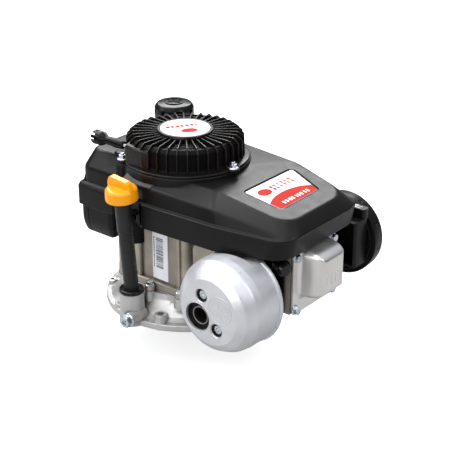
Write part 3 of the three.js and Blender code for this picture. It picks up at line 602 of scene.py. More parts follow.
badge_bed = [(x, y, r + 2.5) for x, y, r in inset(badge_plan, -3)]
badge_pocket = loft([ring(badge_bed, lambda x: crown_top(x) - 1.5),
                     ring(inset(badge_bed, -1.2), lambda x: crown_top(x) + 4)])
FILLER_NECK = (-91, 81, 0)
cap_hole = turned([(0, 190), (20.5, 190), (20.5, 210), (0, 210)], 64)
cap_hole = placed(cap_hole, FILLER_NECK)
flywheel_hole = turned([(0, 180), (72, 180), (72, 210), (0, 210)], 128)
ear_post = merged(*[turned([(0, a), (10.5, a), (9.5, b - 1.2, 1), (8.2, b, 0.6), (0, b)], 48)
                    for a, b in ((168, 190), (189, 196.5), (195.5, 203.3))])
ear_post = placed(ear_post, (*polar(84, -123.5), 0))
cover = carved(outside, [brow, hood, pedestal], [inside, brow_space, hood_inside, flywheel_hole, cap_hole,
                                                 badge_pocket])
piece("cover_post", ear_post, COVER_BLACK, sharp=30)
piece("cover_shell", cover, COVER_BLACK, instead=["shroud"], edge=0.5, sharp=46)
# A thin dark sheet on the diagonal face of the skirt, beside the dipstick tube: painted shade, where that face
# lies in shadow.
shade_sheet = pulled([(-37.6, -72.5), (8.6, -98.9), (8.2, -99.7), (-38, -73.3)], 138, 169.5)
piece("cover_shade_sheet", shade_sheet, SHADE_BLACK, edge=0.2)

# %% [markdown]
# Small things finish the cover: a flap that hangs behind the dipstick tube, and a badge. The badge
# is a white plate in a shallow pocket with a red swell along its front. Plain marks stand where a
# maker would print a name.

# %% Cover details
flap = [(x, y, z) for x, z in ((-18, 102), (4, 110), (4, 150), (-18, 150)) for y in (-92, -86.6)]
# The flap wears the shaded black: painted shade, as it hangs in the shadow behind the tube.
piece("cover_flap", (flap, [(0, 1, 3, 2), (2, 3, 5, 4), (4, 5, 7, 6), (6, 7, 1, 0), (0, 2, 4, 6),
                            (1, 7, 5, 3)]), SHADE_BLACK,
      edge=0.8)


def tube_along(path, r, sides=8, closed=False, squash=1.0):
    """A round bar that follows points."""
    points, rows = [], []
    count = len(path)
    for i, here in enumerate(path):
        here = Vector(here)
        before = Vector(path[i - 1]) if closed or i else here
        after = Vector(path[(i + 1) % count]) if closed or i < count - 1 else here
        way = (after - before).normalized()
        side = way.cross(Vector((0, 0, 1)))
        side = side.normalized() if side.length > 0.05 else Vector((1, 0, 0))
        up = side.cross(way).normalized()
        rows.append(list(range(len(points), len(points) + sides)))
        for s in range(sides):
            a = math.tau * s / sides
            points.append(tuple(here + side * math.cos(a) * r * squash + up * math.sin(a) * r))
    faces = []
    for a, b in zip(rows, rows[1:] + (rows[:1] if closed else [])):
        faces += [(a[s], a[(s + 1) % sides], b[(s + 1) % sides], b[s]) for s in range(sides)]
    if not closed:
        faces += [tuple(rows[0]), tuple(rows[-1][::-1])]
    return points, faces


plate = badge_plan
plate_low = lambda x: crown_top(x) - 1.55
plate_top = lambda x: crown_top(x) - 0.35
print_top = lambda x: crown_top(x) - 0.27
piece("badge_plate", loft([ring(plate, plate_low), ring(plate, plate_top)]), WHITE_PRINT, edge=0.15)


def print_on_badge(outline):
    return loft([level(outline, lambda x: crown_top(x) - 0.6), level(outline, print_top)])


swell = pulled([(187 + 32.5 * math.cos(a), 5 + 53 * math.sin(a))
                for a in [math.tau * i / 72 for i in range(72)]], 150, 230)
field = loft([ring(inset(plate, 0.1), lambda x: crown_top(x) - 0.6), ring(inset(plate, 0.1), print_top)])
cropped = as_object(field)
window = as_object(swell)
step = cropped.modifiers.new("crop", "BOOLEAN")
step.operation, step.solver, step.object = "INTERSECT", "MANIFOLD", window
result = bpy.data.meshes.new_from_object(cropped.evaluated_get(bpy.context.evaluated_depsgraph_get()))
field = [tuple(v.co / MM) for v in result.vertices], [tuple(f.vertices) for f in result.polygons]
for thing in (cropped, window):
    bpy.data.objects.remove(thing)
piece("badge_red", field, RED_PRINT)
marks = [[(141 + 8 * math.cos(a), -13 + 11 * math.sin(a)) for a in [math.tau * i / 48 for i in range(48)]]]
for i, width in enumerate([7, 5, 5, 5, 5, 5, 3]):
    y = 1 + i * 7.4
    lean = 1.5 if i % 2 else -1.5
    for x in (134.5, 141):
        marks.append(rounded([(x, y, 0.7), (x + 5.5, y + 0.6, 0.7),
                              (x + 5.5, y + width - 1 + lean * 0.5, 0.7), (x, y + width - 1, 0.7)], 3))
piece("badge_marks_red", merged(*[print_on_badge(m) for m in marks]), RED_PRINT)
marks = []
for y, width in ((-18, 3), (-12, 3), (-6, 4), (0, 3), (8, 1.4), (12, 3), (17.5, 3), (25, 2.4), (30.5, 3)):
    marks.append(rounded([(170.5, y, 0.6), (176.5, y, 0.6), (176.5, y + width, 0.6),
                          (170.5, y + width, 0.6)], 3))
piece("badge_marks_white", merged(*[loft([level(m, print_top), level(m, lambda x: print_top(x) + 0.07)])
                                    for m in marks]),
      WHITE_PRINT)

# %% [markdown]
# The recoil starter is a bell with thirty-six ribs, which let cooling air in between them. The ribs
# run out from the hub, turn down over the shoulder and stop just above the base. One blade is drawn
# and spun ten degrees at a time. Thin rings under the ribs keep fingers out, as on the real one.

# %% Recoil starter
bell = turned([(71.5, 203.4), (84, 203.4, 0.8), (84, 206.2, 1.0), (77.5, 206.8, 1.5), (74.2, 209, 1.5),
               (73.4, 231.5, 3),
               (68.6, 235.4, 1.2), (66, 235.4, 0.5), (66, 232.6, 0.5), (70.6, 231, 2), (71.5, 205)], 160,
              closed=True)
rope_box = pulled(rounded([(-46, -50, 2.5), (-35, -77, 4), (6, -67, 3), (10, -60, 1), (-20, -50, 1)], 4),
                  203.4, 230)
ears = [placed(turned([(0, 203.4), (8.4, 203.4, 0.6), (8.4, 207.4, 0.8), (0, 207.4)], 40), (*polar(84, a), 0))
        for a in (-3.5, -123.5, 116.5)]
rope_way = [tube_along([(-60, -57, 220), (-8, -57, 220)], 3, 16),
            tube_along([(-31, -57, 220), (-8, -28, 220)], 3, 16)]
bell = carved(bell, [rope_box], rope_way + [placed(turned([(0, 213), (65.8, 213), (65.8, 229), (0, 229)],
    96))])
# The bell wall wears the shaded black, not the starter black of the ribs and base: painted shade in the slots
# between the ribs.
piece("starter_bell", bell, SHADE_BLACK, instead=["starter_housing"], edge=0.5)
skirt_ring = turned([(78, 203.5), (84.4, 203.5, 0.8), (84.4, 206.4, 1.0), (78, 206.9)], 160, closed=True)
box_plan = [(-46.4, -50.2, 2.5), (-36.5, -76.6, 4), (-4, -79.6, 3), (4, -77, 1), (2, -60, 1), (-20, -50, 1)]
box_face = carved(loft(softened([ring(box_plan, 206, 4), ring(box_plan, 228.6, 4),
                                 ring(inset(box_plan, 2), 231, 4)], [0, 0.8, 0])), [],
                  [tube_along([(-60, -57, 220), (-8, -57, 220)], 3, 16),
                   turned([(0, 200), (73, 200), (73, 240), (0, 240)], 96)])
piece("starter_base", merged(skirt_ring, box_face), STARTER_BLACK, sharp=30)
piece("starter_ears", merged(*ears), STARTER_BLACK)
blade = rounded([(34, 231, 0), (34, 238.6, 0.5), (69, 238.6, 5), (76.9, 232, 3), (77.6, 206.6, 0),
                 (73.2, 206.6, 0),
                 (73.0, 231, 2), (67, 233.6, 0)], 5)


def rib(angle, half=0.85):
    """One blade of the starter, at an angle. Its outer edge is narrowed, so that it catches the light."""
    turn = Matrix.Rotation(math.radians(angle), 3, "Z")
    rows = []
    for side, pull in ((-half, 0.35), (-half + 0.35, 0), (half - 0.35, 0), (half, 0.35)):
        row = []
        for r, z in blade:
            outer = z > 236 or r > 74.5
            row.append(turn @ Vector((r - (pull if outer and r > 70 else 0), side,
                                      z - (pull if outer and z > 233 else 0))))
        rows.append(row)
    return loft(rows)


piece("starter_ribs", merged(*[rib(10 * i + 3) for i in range(36)]), STARTER_BLACK)
grille = [turned([(r - 0.7, 230.6, 0.3), (r + 0.7, 230.6, 0.3), (r + 0.7, 234.4, 0.4),
                  (r - 0.7, 234.4, 0.4)], 96, closed=True)
          for r in (44, 50, 56, 62)]
piece("starter_grille", merged(*grille), STARTER_BLACK)
hub = turned([(0, 213), (8, 213, 0.5), (8, 231.5, 1), (37, 231.5, 0.8), (37, 238.4, 0.8), (36.2, 241.2, 0.9),
              (33.4, 241.2, 0.6), (33, 240.2, 0.2), (0, 240.2)], 96)
piece("starter_hub", hub, STARTER_BLACK)
disc = turned([(0, 240.3), (32.6, 240.3), (32.6, 241.3, 0.3), (0, 241.3)], 96)
piece("starter_badge", disc, WHITE_PRINT)
DISC_TOP = 241.3
# The marks read along a line a little off the +Y direction.
turn = Matrix.Rotation(math.radians(58), 2)
marks = [[tuple(turn @ Vector((2 + 11 * math.cos(a), -12 + 7.5 * math.sin(a))))
          for a in [math.tau * i / 48 for i in range(48)]]]
for i, width in enumerate([5.2, 4.2, 5.2, 4.2, 4.2, 4.2, 2.2]):
    x = -24 + i * 6.6
    box = rounded([(x, 3, 0.9), (x + width, 3, 0.9), (x + width, 10.5, 0.9), (x, 10.5, 0.9)], 3)
    marks.append([tuple(turn @ Vector(p)) for p in box])
piece("starter_marks", merged(*[pulled(m, DISC_TOP - 0.1, DISC_TOP + 0.08) for m in marks]), RED_PRINT)

# %% [markdown]
# Screws are drawn once. The head is a six-sided prism whose corners are turned away at the top, on a
# washer face, and a hole in the top makes it a socket screw. All of them are zinc plated.

# %% Screws
def hexagon(across, count=48):
    """Points round a hexagon, evenly by angle."""
    points = []
    for i in range(count):
        a = math.tau * i / count
        r = across / 2 / math.cos((a % (math.pi / 3)) - math.pi / 6)
        points.append((r * math.cos(a), r * math.sin(a)))
    return points


def screw_head(across, height, washer_r, washer_h, socket=0.0, flats=6):
    flange = turned([(0, 0), (washer_r, 0, 0.2), (washer_r, washer_h * 0.6, 0.3),
                     (washer_r * 0.86, washer_h, 0.3), (0, washer_h)], 48)
    outline = hexagon(across)
    limit = across / 2 * 1.04
    rows = [level(outline, washer_h * 0.5), level(outline, height - 1.1)]
    for k, z in ((1.06, height - 0.6), (1.0, height - 0.15), (0.9, height)):
        rows.append([(x * min(1, limit * k / math.hypot(x, y)), y * min(1, limit * k / math.hypot(x, y)), z)
                     for x, y in outline])
    head = loft(rows)
    if socket:
        tool = pulled([(x, y) for x, y in rounded([polar(socket, 360 * i / flats + 15)
                                                   for i in range(flats)])], height - 3, height + 1)
        head = carved(head, [], [tool])
    return merged(flange, head)


for i, angle in enumerate((-3.5, -123.5, 116.5)):
    nut = merged(screw_head(9.6, 6.2, 7.6, 1.8), turned([(0, 5), (2.6, 5), (2.6, 8.4, 0.5), (0, 8.4)], 24))
    piece(f"starter_nut_look_{i + 1}", placed(nut, (*polar(84, angle), 207.7), turn=17 * i), ZINC,
          instead=[f"starter_nut_{i + 1}"], sharp=25)

# %% [markdown]
# The pull cord leaves the starter through an eyelet and ends in a moulded grip. The cord is one
# mesh that runs from the engine to the grip. The grip is turned, with a waist for the fingers and
# notches in its end.

# %% Cord and grip
eyelet = turned([(2.6, -1.2, 0.5), (5.4, -1.2, 0.8), (5.4, 1.4, 1.2), (3.6, 2.4, 0.8), (2.6, 1.6, 0.6)], 40,
                closed=True)
piece("cord_eyelet", placed(eyelet, (-42.6, -57, 220), (-1, -0.42, 0)), STEEL)
path = [(-14, -36, 220), (-20, -43, 220), (-26, -50, 220), (-30.5, -55, 220), (-34, -57, 220)]
path += [(-34 - 0.75 * i, -57, 220) for i in range(1, 28)]
path += [(-55.5 - 1.5 * i, -57, 220) for i in range(1, 6)]
cord = piece("starter_cord", tube_along(path, 2, 12), ROPE)
cord.parent = None
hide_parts("starter_rope")
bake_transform(cord)
grip = turned([(0, -102), (6.2, -102, 0.5), (6.2, -108, 0.5), (6.6, -108.3, 0.4), (9.2, -108.5, 1.2),
               (9.8, -106, 1.5),
               (9.4, -94, 3), (5.2, -86, 4), (6.4, -69, 4), (5.6, -58, 1.5), (4.6, -55.4, 0.6),
               (2.3, -55.4, 0.2), (2.3, -60), (0, -60)], 48)
notches = [placed(slab(-1.7, 1.7, -12, 12, -112, -101.6), turn=a) for a in (0, 45, 90, 135)]
grip = carved(grip, [], notches)
grip = [(z, y - 57, x + 220) for x, y, z in grip[0]], [f[::-1] for f in grip[1]]
piece("pull_grip", grip, GRIP_BLACK, body="handle", instead=["rope_handle"], sharp=40)

# %% [markdown]
# The fuel tank is blow moulded from two halves, so a fine groove shows where the mould parted, and
# a rib runs round it. The same outline moved inwards gives the hollow and the depth of the groove.
# The cap on its neck is a separate moulding, with finger hollows and a raised ring on top.

# %% Fuel tank and cap
tank = [(-129, -70, 6), (-70, -70, 12), (-70, -50, 3), (-87.5, -36, 4), (-87.5, 106, 10), (-127, 106, 14)]


def tank_form(d):
    """The outside of the tank moved inwards by d."""
    rings = [ring(inset(tank, 11 + d), 81.6 + d), ring(inset(tank, 6 + d), 82 + d), ring(inset(tank, d), 98),
             ring(inset(tank, d), 146), ring(inset(tank, 6 + d), 168 - d)]
    return loft(softened(rings, [0, 6, 10, 5, 0], 6))


parting = carved(slab(-115.6, -114.4, -80, 120, 70, 121), [], [tank_form(0.8)])
neck = placed(turned([(0, 155), (19, 155), (19, 222, 0.6), (0, 222)], 64), FILLER_NECK)
bore = placed(turned([(0, 150), (16, 150), (16, 225), (0, 225)], 64), FILLER_NECK)
threads = [placed(turned([(18.6, z, 0), (20.1, z + 0.9, 0.3), (18.6, z + 1.8, 0)], 64, closed=True),
                  FILLER_NECK) for z in (214.5, 218)]
piece("tank_body", carved(tank_form(0), [neck], [tank_form(2.5), bore, parting]), TANK_BLACK,
      instead=["fuel_tank"], sharp=40)
piece("tank_thread", merged(*threads), TANK_BLACK)
seam = tube_along(ring(tank, 122, 10), 0.9, 6, closed=True)
piece("tank_seam", seam, TANK_BLACK)
cap = turned([(21, 212, 0.4), (26.6, 212, 1.2), (27.5, 214.5, 1), (27.5, 229, 4), (24, 234.2, 4), (0, 236.4),
              (0, 226.4), (21, 226.4, 0.5)], 96, closed=True)
hollows = []
for i in range(8):
    hollow = placed(slab(-4.2, 4.2, -4, 4, -4.2, 4.2, 2.5, 5), (0, 0, 0), "X")
    hollow = placed(hollow, (28.6, 0, 224))
    hollows.append(placed(hollow, turn=45 * i + 10))
cap = carved(cap, [], hollows)
piece("fuel_cap_look", placed(cap, FILLER_NECK), TANK_BLACK, body="fuel_cap",
      instead=["fuel_cap"], edge=0.6, sharp=38)
mark = turned([(13.5, 234.6), (13.5, 236.35, 0.3), (12, 236.5, 0.3), (12, 234.6)], 64, closed=True)
bars = [slab(-8, 8, y - 1, y + 1, 235, 236.8, 0.8) for y in (-3.4, 0.2, 3.8)]
piece("fuel_cap_mark", placed(merged(mark, *bars), FILLER_NECK, turn=35), TANK_BLACK, body="fuel_cap")

# %% [markdown]
# Oil goes in through a leaning tube with a yellow dipstick cap. The tube's axis is a direction, and
# everything on it is turned upright and then laid along it. The cap is remeshed finely and smoothed
# a little, so that its fin grows out of the top with a soft root as it does when moulded.

# %% Filler tube and dipstick cap
TUBE_FOOT = Vector((-4, -105.5, 45))
TUBE_WAY = Vector((0, -11.5, 135))
TUBE_LONG = TUBE_WAY.length


def on_tube(shape, turn=0.0):
    lie = Vector((0, 0, 1)).rotation_difference(TUBE_WAY).to_matrix()
    matrix = lie @ Matrix.Rotation(math.radians(turn), 3, "Z")
    return [tuple(matrix @ Vector(p) + TUBE_FOOT) for p in shape[0]], shape[1]


top = TUBE_LONG
pipe = turned([(8.3, -6), (9.6, -6), (9.6, 88, 0.4), (10.5, 89, 0.4), (10.5, top - 10, 0.4),
               (11.4, top - 9.4, 0.4), (11.4, top - 2, 0.6), (8.3, top - 2)],
              72, closed=True)
piece("filler_pipe", on_tube(pipe), TUBE_BLACK, instead=["filler_tube"], sharp=30)
collar = turned([(9.7, 44), (16, 44, 0.5), (16.8, 46.2, 1), (16, 49.4, 1.4), (13.4, 49.8, 1),
                 (12, 47.4, 0.8), (9.7, 47.2)], 72, closed=True)
piece("filler_collar", placed(collar, (-4, -105.8, 0)), RUBBER, sharp=50)
# The clip wears the shaded black: painted shade under the cover.
piece("filler_clip", merged(slab(-11, 3, -114, -89, 152, 154.4, 3), slab(-9, -1, -92, -86, 140, 154.4, 1)),
      SHADE_BLACK, edge=0.5)
skirt_cap = turned([(16.6, top - 1, 0.6), (21.0, top - 1.2, 0.8), (21.2, top + 3, 1),
                    (20.4, top + 12.5, 2.4), (17.5, top + 15, 2.4), (0, top + 16),
                    (0, top + 4), (16.6, top + 4, 0.5)], 72, closed=True)
fin_outline = rounded([(-19.5, 8, 0), (19.5, 8, 0), (19.6, 15, 3), (14.5, 25.5, 6), (-15.5, 28.6, 4.5),
                       (-19, 20, 3)], 6)
fin = loft([[(x, y, top + z) for x, z in fin_outline] for y in (-4.2, 4.2)])
stem = turned([(4.5, top - 8), (7.9, top - 8, 0.5), (7.9, top + 5), (4.5, top + 5)], 48, closed=True)
cap_body = carved(skirt_cap, [fin, stem])
yellow = piece("dipstick_cap_look", on_tube(cap_body, 0), YELLOW, body="dipstick_cap",
               instead=["dipstick_cap"], sharp=60)
moulded(yellow, 0.5, 4)

# %% [markdown]
# The silencer is a deep-drawn pan crimped to a back plate. Its profile is turned, then two screw
# wells, the outlet and a flat under the cover are cut in it, and the rim is rolled over the plate.
# Cutting the thin shell for the flat would open it, so a roof plate is joined to it first.

# %% Silencer
SX, SZ = 155.3, 81.6
OUTLET_X, OUTLET_Z = 138, 70.6
WELL_PLACES = ((144, 101), (167, 61))


def lengthwise(profile, steps=96, closed=False, arc=5, x=SX, z=SZ):
    """A profile of (radius, y, fillet) turned about an axis along Y."""
    return placed(turned(profile, steps, closed, arc), (x, 0, z), "Y")


pan = lengthwise([(0, -140), (42.8, -140, 2), (52.8, -132.4, 7), (59.8, -119.2, 9), (61.2, -108, 8),
                  (61.4, -78), (59.8, -78), (59.8, -108, 6),
                  (58, -119, 8), (51.5, -131, 7), (42, -138.4, 3), (0, -138.4)])
wells = [lengthwise([(0, -139), (10.2, -139, 1), (9.4, -128.4, 2), (0, -128.4)], 48, x=x, z=z)
         for x, z in WELL_PLACES]
hollows = [lengthwise([(0, -144), (10, -144), (9.4, -140.2, 1.2), (8.2, -138, 1), (8.2, -130, 1), (0, -130)],
                      48, x=x, z=z)
           for x, z in WELL_PLACES]
outlet = lengthwise([(0, -144), (20.4, -144), (19.9, -140.2, 1), (19.4, -138.5, 0.5), (19.4, -136),
                     (0, -136)], 64, x=OUTLET_X, z=OUTLET_Z)
under_cover = loft([ring(inset(skirt, -8), 135.2), ring(inset(skirt, -8), 165)])
roof = slab(126.5, 184, -116, -79, 133.4, 135.3)
pan = carved(pan, [*wells, roof], hollows + [outlet, under_cover])
# The linings darken the screw wells: painted shade.
linings = [lengthwise([(7.5, -131), (8.1, -131), (8.1, -138.6), (7.5, -138.6)], 48, True, x=x, z=z)
           for x, z in WELL_PLACES]
piece("silencer_wells", merged(*linings), WELL_SHADE)
piece("silencer_pan", pan, SILVER, instead=["muffler_shell"], sharp=32)
lip = lengthwise([(18.3, -136.5), (19.7, -136.5, 0.3), (19.7, -140.3, 0.5), (18.3, -140.3, 0.6)], 64, True,
                 x=OUTLET_X, z=OUTLET_Z)
piece("silencer_outlet_lip", lip, SILVER)
ring_mark = lengthwise([(17, -139.7), (18, -139.7), (18, -140.5, 0.3), (17, -140.5, 0.3)], 72, True, x=173,
                       z=90)
inner_mark = lengthwise([(13, -139.7), (13.6, -139.7), (13.6, -140.35, 0.2), (13, -140.35, 0.2)], 72, True,
                        x=173, z=90)
spokes = [placed(placed(slab(3, 12, -0.5, 0.5, 139.7, 140.35, 0.4), turn=60 * i + 12), (173, 0, 90), "Y")
          for i in range(6)]
spokes = [([(x, -abs(y), z) for x, y, z in s[0]], s[1]) for s in spokes]
piece("silencer_mark", merged(ring_mark, inner_mark, *spokes), SILVER)
back = carved(lengthwise([(0, -77.6), (60, -77.6), (60, -79, 0.4), (61.5, -79.6, 0.3), (63.2, -79.4, 1),
                          (63.8, -76.4, 1.2), (62.6, -73.8, 1), (0, -73.8)]),
              [lengthwise([(0, -75), (13, -75), (13, -47), (0, -47)], 48, x=150, z=81),
               slab(130, 170, -48, -44.6, 62, 100, 6)],
              [lengthwise([(0, -82), (10, -82), (10, -40), (0, -40)], 48, x=150, z=81), under_cover])
piece("silencer_back", back, SILVER, instead=["muffler_back"], sharp=32)
pipe = lengthwise([(10.2, -136.4, 0.5), (12.2, -136.4, 0.8), (12, -96), (6, -96), (6, -97.5), (10.4, -97.5)],
                  64, True, x=139.5, z=71.5)
piece("outlet_pipe", pipe, TAIL_STEEL, instead=["tail_pipe"])
# The baffle wears the shaded black: painted shade deep inside the outlet.
inner = lengthwise([(0, -100), (30, -100), (30, -99), (0, -99)], 64, x=142, z=74)
piece("silencer_baffle", inner, SHADE_BLACK)
for i, (x, z) in enumerate(WELL_PLACES):
    head = screw_head(10.6, 6.4, 7.2, 1.0, 2.9)
    shank = turned([(0, -78), (3, -78), (3, 1), (0, 1)], 24)
    points, faces = merged(head, shank)
    points = [(x + px, -130.4 - pz, z + py) for px, py, pz in points]
    piece(f"silencer_screw_{i + 1}", (points, faces), ZINC,
          instead=[f"muffler_bolt_{i + 1}"], sharp=25)

# %% [markdown]
# The rocker cover is pressed from sheet, with a flat rim and a raised box whose face carries four
# plain upright ridges.

# %% Rocker cover
def facing_x(rings):
    """Rings drawn as (y, z, x), turned to face along X."""
    return loft([[(x, y, z) for y, z, x in ring_points] for ring_points in rings])


lid_corners = [(-31, 73, 10), (31, 73, 10), (31, 141, 10), (-31, 141, 10)]


def lid_ring_at(d, x):
    return level(rounded(inset(lid_corners, d), 6), x)


lid_shape = facing_x(softened([lid_ring_at(-3, 207), lid_ring_at(-3, 208.4), lid_ring_at(1, 210.5),
                               lid_ring_at(4.5, 231), lid_ring_at(11, 240),
                               lid_ring_at(20, 240.1), lid_ring_at(26, 240.1), lid_ring_at(30, 240.1)],
                              [0, 1, 3.5, 9, 5, 0, 0, 0], 7))
rim = facing_x([level(rounded([(-42.5, 54, 8), (44, 54, 8), (44, 139, 8), (-42.5, 139, 8)], 6), x)
                for x in (205.9, 208.5)])
cover_room = slab(203, 226, -23, 23, 81, 133, 4)
bolt_places = [(-38, 61), (38, 61), (-38, 133), (38, 133)]
holes = [placed(turned([(0, 0), (3.4, 0), (3.4, 12), (0, 12)], 32), (200, y, z), "X") for y, z in bolt_places]
rocker = carved(rim, [lid_shape], [cover_room, *holes])
piece("rocker_lid", rocker, PRESSED, instead=["rocker_cover"], sharp=40)
ridges = [facing_x([level(rounded([(y, 95, 1.4), (y + 3.4, 95, 1.4), (y + 3.4, 108, 1.4), (y, 108, 1.4)], 5),
                          x) for x in (239, 240.9)])
          for y in (-16, -6.6, 2.8, 12.2)]
piece("rocker_lid_ridges", merged(*ridges), PRESSED, edge=0.5)
for i, (y, z) in enumerate(bolt_places):
    piece(f"rocker_screw_{i + 1}", placed(merged(screw_head(9.2, 6.4, 6.6, 1.6),
                                                 turned([(0, -3), (3, -3), (3, 0.5), (0, 0.5)], 24)),
                                          (208.8, y, z), "X", 20 * i),
          ZINC, instead=[f"rocker_bolt_{i + 1}"], sharp=25)

# %% [markdown]
# The sump is the casting that carries everything. Its round flange bolts to the mower deck, so it
# has three bosses on an eight inch circle, a dome above the flange, a tall boss for the oil tube, and
# a drain. The rim that meets the crankcase repeats the crankcase outline, with a screw at each lobe.

# %% Sump
case = [(-62, -70, 16), (60, -70, 10), (60, 62, 12), (36, 92, 20), (-62, 92, 24)]
band = inset(case, -6)
room = inset(case, 7)
LOBES = [(-69, -52), (6, -82), (51, -74), (68, -30), (68, 30), (62, 70), (10, 100), (-50, 99), (-70, 40),
         (-70, -20)]


def boss(x, y, z0, z1, r, draft=0.0, edge=0.8, steps=40):
    return placed(turned([(0, z0), (r + draft, z0), (r, z1, edge), (0, z1)], steps), (x, y, 0))


dome = turned([(0, 0), (110.4, 0, 0.8), (111, 1.5, 0.6), (111, 8.6, 1.2), (104, 9.6, 6), (97, 13.5, 6),
               (90, 20.5, 8), (84.5, 30, 8), (82, 38), (0, 38)], 144)
band_ring = loft(softened([ring(band, 29), ring(band, 39.6), ring(inset(band, 0.4), 40)], [0, 0, 0]))
filler_boss = boss(-4, -105.5, 0, 45, 15.4, 2.2, 1.2, 64)
drain_boss = lengthwise([(0, -124), (9, -124, 0.8), (10, -98), (0, -98)], 48, x=7, z=13)
mounts = [boss(*polar(101.6, a), 0, 20, 8.6, 1.2, 1.4) for a in (-69, 51, 171)]
lobes = [boss(x, y, 26, 40, 6.8, 1.0, 0.6) for x, y in LOBES]
ribs_out = []
for a in (-148, -109, -33, 15, 90, 128, -165):
    ribs_out.append(placed(slab(70, 107, -2.2, 2.2, 4, 15, 1.5), turn=a))
lugs = [boss(*polar(104.5, a), 2, 14, 6, 1, 0.8) for a in (-148, -109, 20)]
cavity = loft([ring(room, 30), ring(room, 42)])
bowl_room = turned([(0, 10), (60, 10), (72, 18), (72, 32), (0, 32)], 64)
shaft_boss = turned([(0, 2), (22, 2), (22, 44), (0, 44)], 64)
cam_boss = boss(-14, 49, 2, 26, 13)
through = [boss(*polar(101.6, a), -2, 24, 4.5, edge=0) for a in (-69, 51, 171)]
through += [boss(*polar(104.5, a), 6, 20, 2.6, edge=0) for a in (-148, 20)]
through += [boss(0, 0, -2, 50, 13, edge=0), boss(0, 0, -2, 8.5, 17.5, edge=0, steps=64),
            boss(-14, 49, 14, 30, 7.4, edge=0),
            boss(-4, -105.5, 12, 48, 11, edge=0), lengthwise([(0, -126), (5.4, -126), (5.4, -100),
                (0, -100)], 32, x=7, z=13)]
base = carved(dome, [band_ring, filler_boss, drain_boss, *mounts, *lobes, *ribs_out, *lugs],
              [cavity, bowl_room])
base = carved(base, [shaft_boss, cam_boss], through)
piece("sump_casting", base, SUMP_METAL, instead=["sump"], edge=0.5, sharp=40)

# %% [markdown]
# The crankcase is sand-coloured cast aluminium: four drafted walls, upright pilasters where the
# screws pass, a finned barrel and a deck for the head. A paper label with plain bars is stuck on it.

# %% Crankcase
walls = loft(softened([ring(case, 50), ring(inset(case, 1.2), 135.5)], [0, 0]))
low_band = loft([ring(band, 41.2), ring(band, 49.4), ring(inset(band, 0.8), 50.2)])
case_lobes = [boss(x, y, 41.2, 47.2, 6.6, 0.4, 0.6) for x, y in LOBES]
pilasters = []
for x0, x1, out, z1 in ((-58, -50, 3, 132), (-22, -16.5, 4.5, 132), (44, 50, 3.2, 133)):
    pilasters.append(loft([level(rounded([(x0, -66, 1), (x0 - 0.6, -70 - out, 2), (x1 + 0.6, -70 - out, 2),
                                          (x1, -66, 1)][::1], 4), 46),
                           level(rounded([(x0, -66, 1), (x0, -69.5 - out, 2), (x1, -69.5 - out, 2),
                                          (x1, -66, 1)], 4), z1)]))
for y0, y1 in ((-48, -42), (-6, 0), (38, 44), (70, 76)):
    pilasters.append(slab(-66, -58, y0, y1, 46, 130, 2))
for x0, x1 in ((-40, -34), (-4, 2), (28, 34)):
    pilasters.append(slab(x0, x1, 88, 96, 46, 130, 2))
CYLINDER = (0, 0, 97)
barrel = placed(turned([(0, 55), (39, 55), (39, 134), (0, 134)], 96), CYLINDER, "X")
fins = [placed(slab(-43, 43, -46, 46, x, x + 2.6, 16, 6), CYLINDER, "X")
        for x in (66, 74, 82, 90, 98, 106, 114, 122)]
deck = placed(slab(-42, 42, -44, 44, 126, 134, 6), CYLINDER, "X")
bearing = turned([(0, 118), (24, 118), (21, 149, 1.2), (0, 149.5)], 64)
body = carved(walls, [low_band, *case_lobes, *pilasters, barrel, deck, bearing, *fins],
              [loft([ring(room, 36), ring(inset(room, 1), 129)]),
               placed(turned([(0, 30), (32, 30), (32, 140), (0, 140)], 96), CYLINDER, "X"),
               placed(turned([(0, 25), (35, 25), (35, 63), (0, 63)], 96), CYLINDER, "X"),
               boss(0, 0, 100, 152, 12.9, edge=0)])
piece("crankcase_casting", body, CAST_METAL, instead=["crankcase"], edge=0.5, sharp=40)
runner = loft(softened([[(x, -60, z) for x, z in rounded([(66, 56, 6), (104, 56, 6), (104, 124, 8),
    (66, 124, 8)], 5)],
                        [(x, -67, z) for x, z in rounded([(68, 60, 6), (101, 60, 6), (101, 120, 8),
                            (68, 120, 8)], 5)]], [0, 0]))
piece("case_side_cover", runner, CAST_METAL, edge=1.2)
for i, (x, y) in enumerate(LOBES):
    piece(f"sump_screw_{i + 1}", placed(screw_head(9.0, 5.6, 6.2, 1.4), (x, y, 47.3), turn=13 * i), ZINC,
          sharp=25)
label = slab(3, 29, -71.4, -69.6, 53.5, 132, 0)
piece("case_label", label, WHITE_PRINT, edge=0.1)
draw = random.Random(7)
bars, z = [], 70
while z < 114:
    thick = draw.choice((0.5, 0.7, 1.1, 1.6))
    bars.append(slab(9.5, 21.5, -71.5, -71.2, z, z + thick))
    z += thick + draw.choice((0.5, 0.8, 1.2))
z = 70
while z < 112:
    long = draw.choice((1.2, 2.4, 3.2))
    bars.append(slab(5, 6.6, -71.5, -71.2, z, z + long))
    z += long + 0.9
piece("case_label_bars", merged(*bars), GREY_PRINT)
round_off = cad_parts["cylinder_head"].modifiers.new("round_edges", "BEVEL")
round_off.width, round_off.segments, round_off.limit_method = 0.8 * MM, 2, "ANGLE"
round_off.angle_limit = math.radians(40)
# The baffle wears the shaded black: painted shade behind the silencer.
baffle = [slab(140, 197, -47.2, -45.2, 58, 137, 3)] + [slab(143, 194, -49.4, -46, z, z + 2.2, 0.8)
                                                       for z in range(64, 134, 9)]
piece("head_baffle", merged(*baffle), SHADE_BLACK, edge=0.4)

# %% [markdown]
# The drain plug is a hexagon with a square socket. It is built pointing up and laid along -Y.

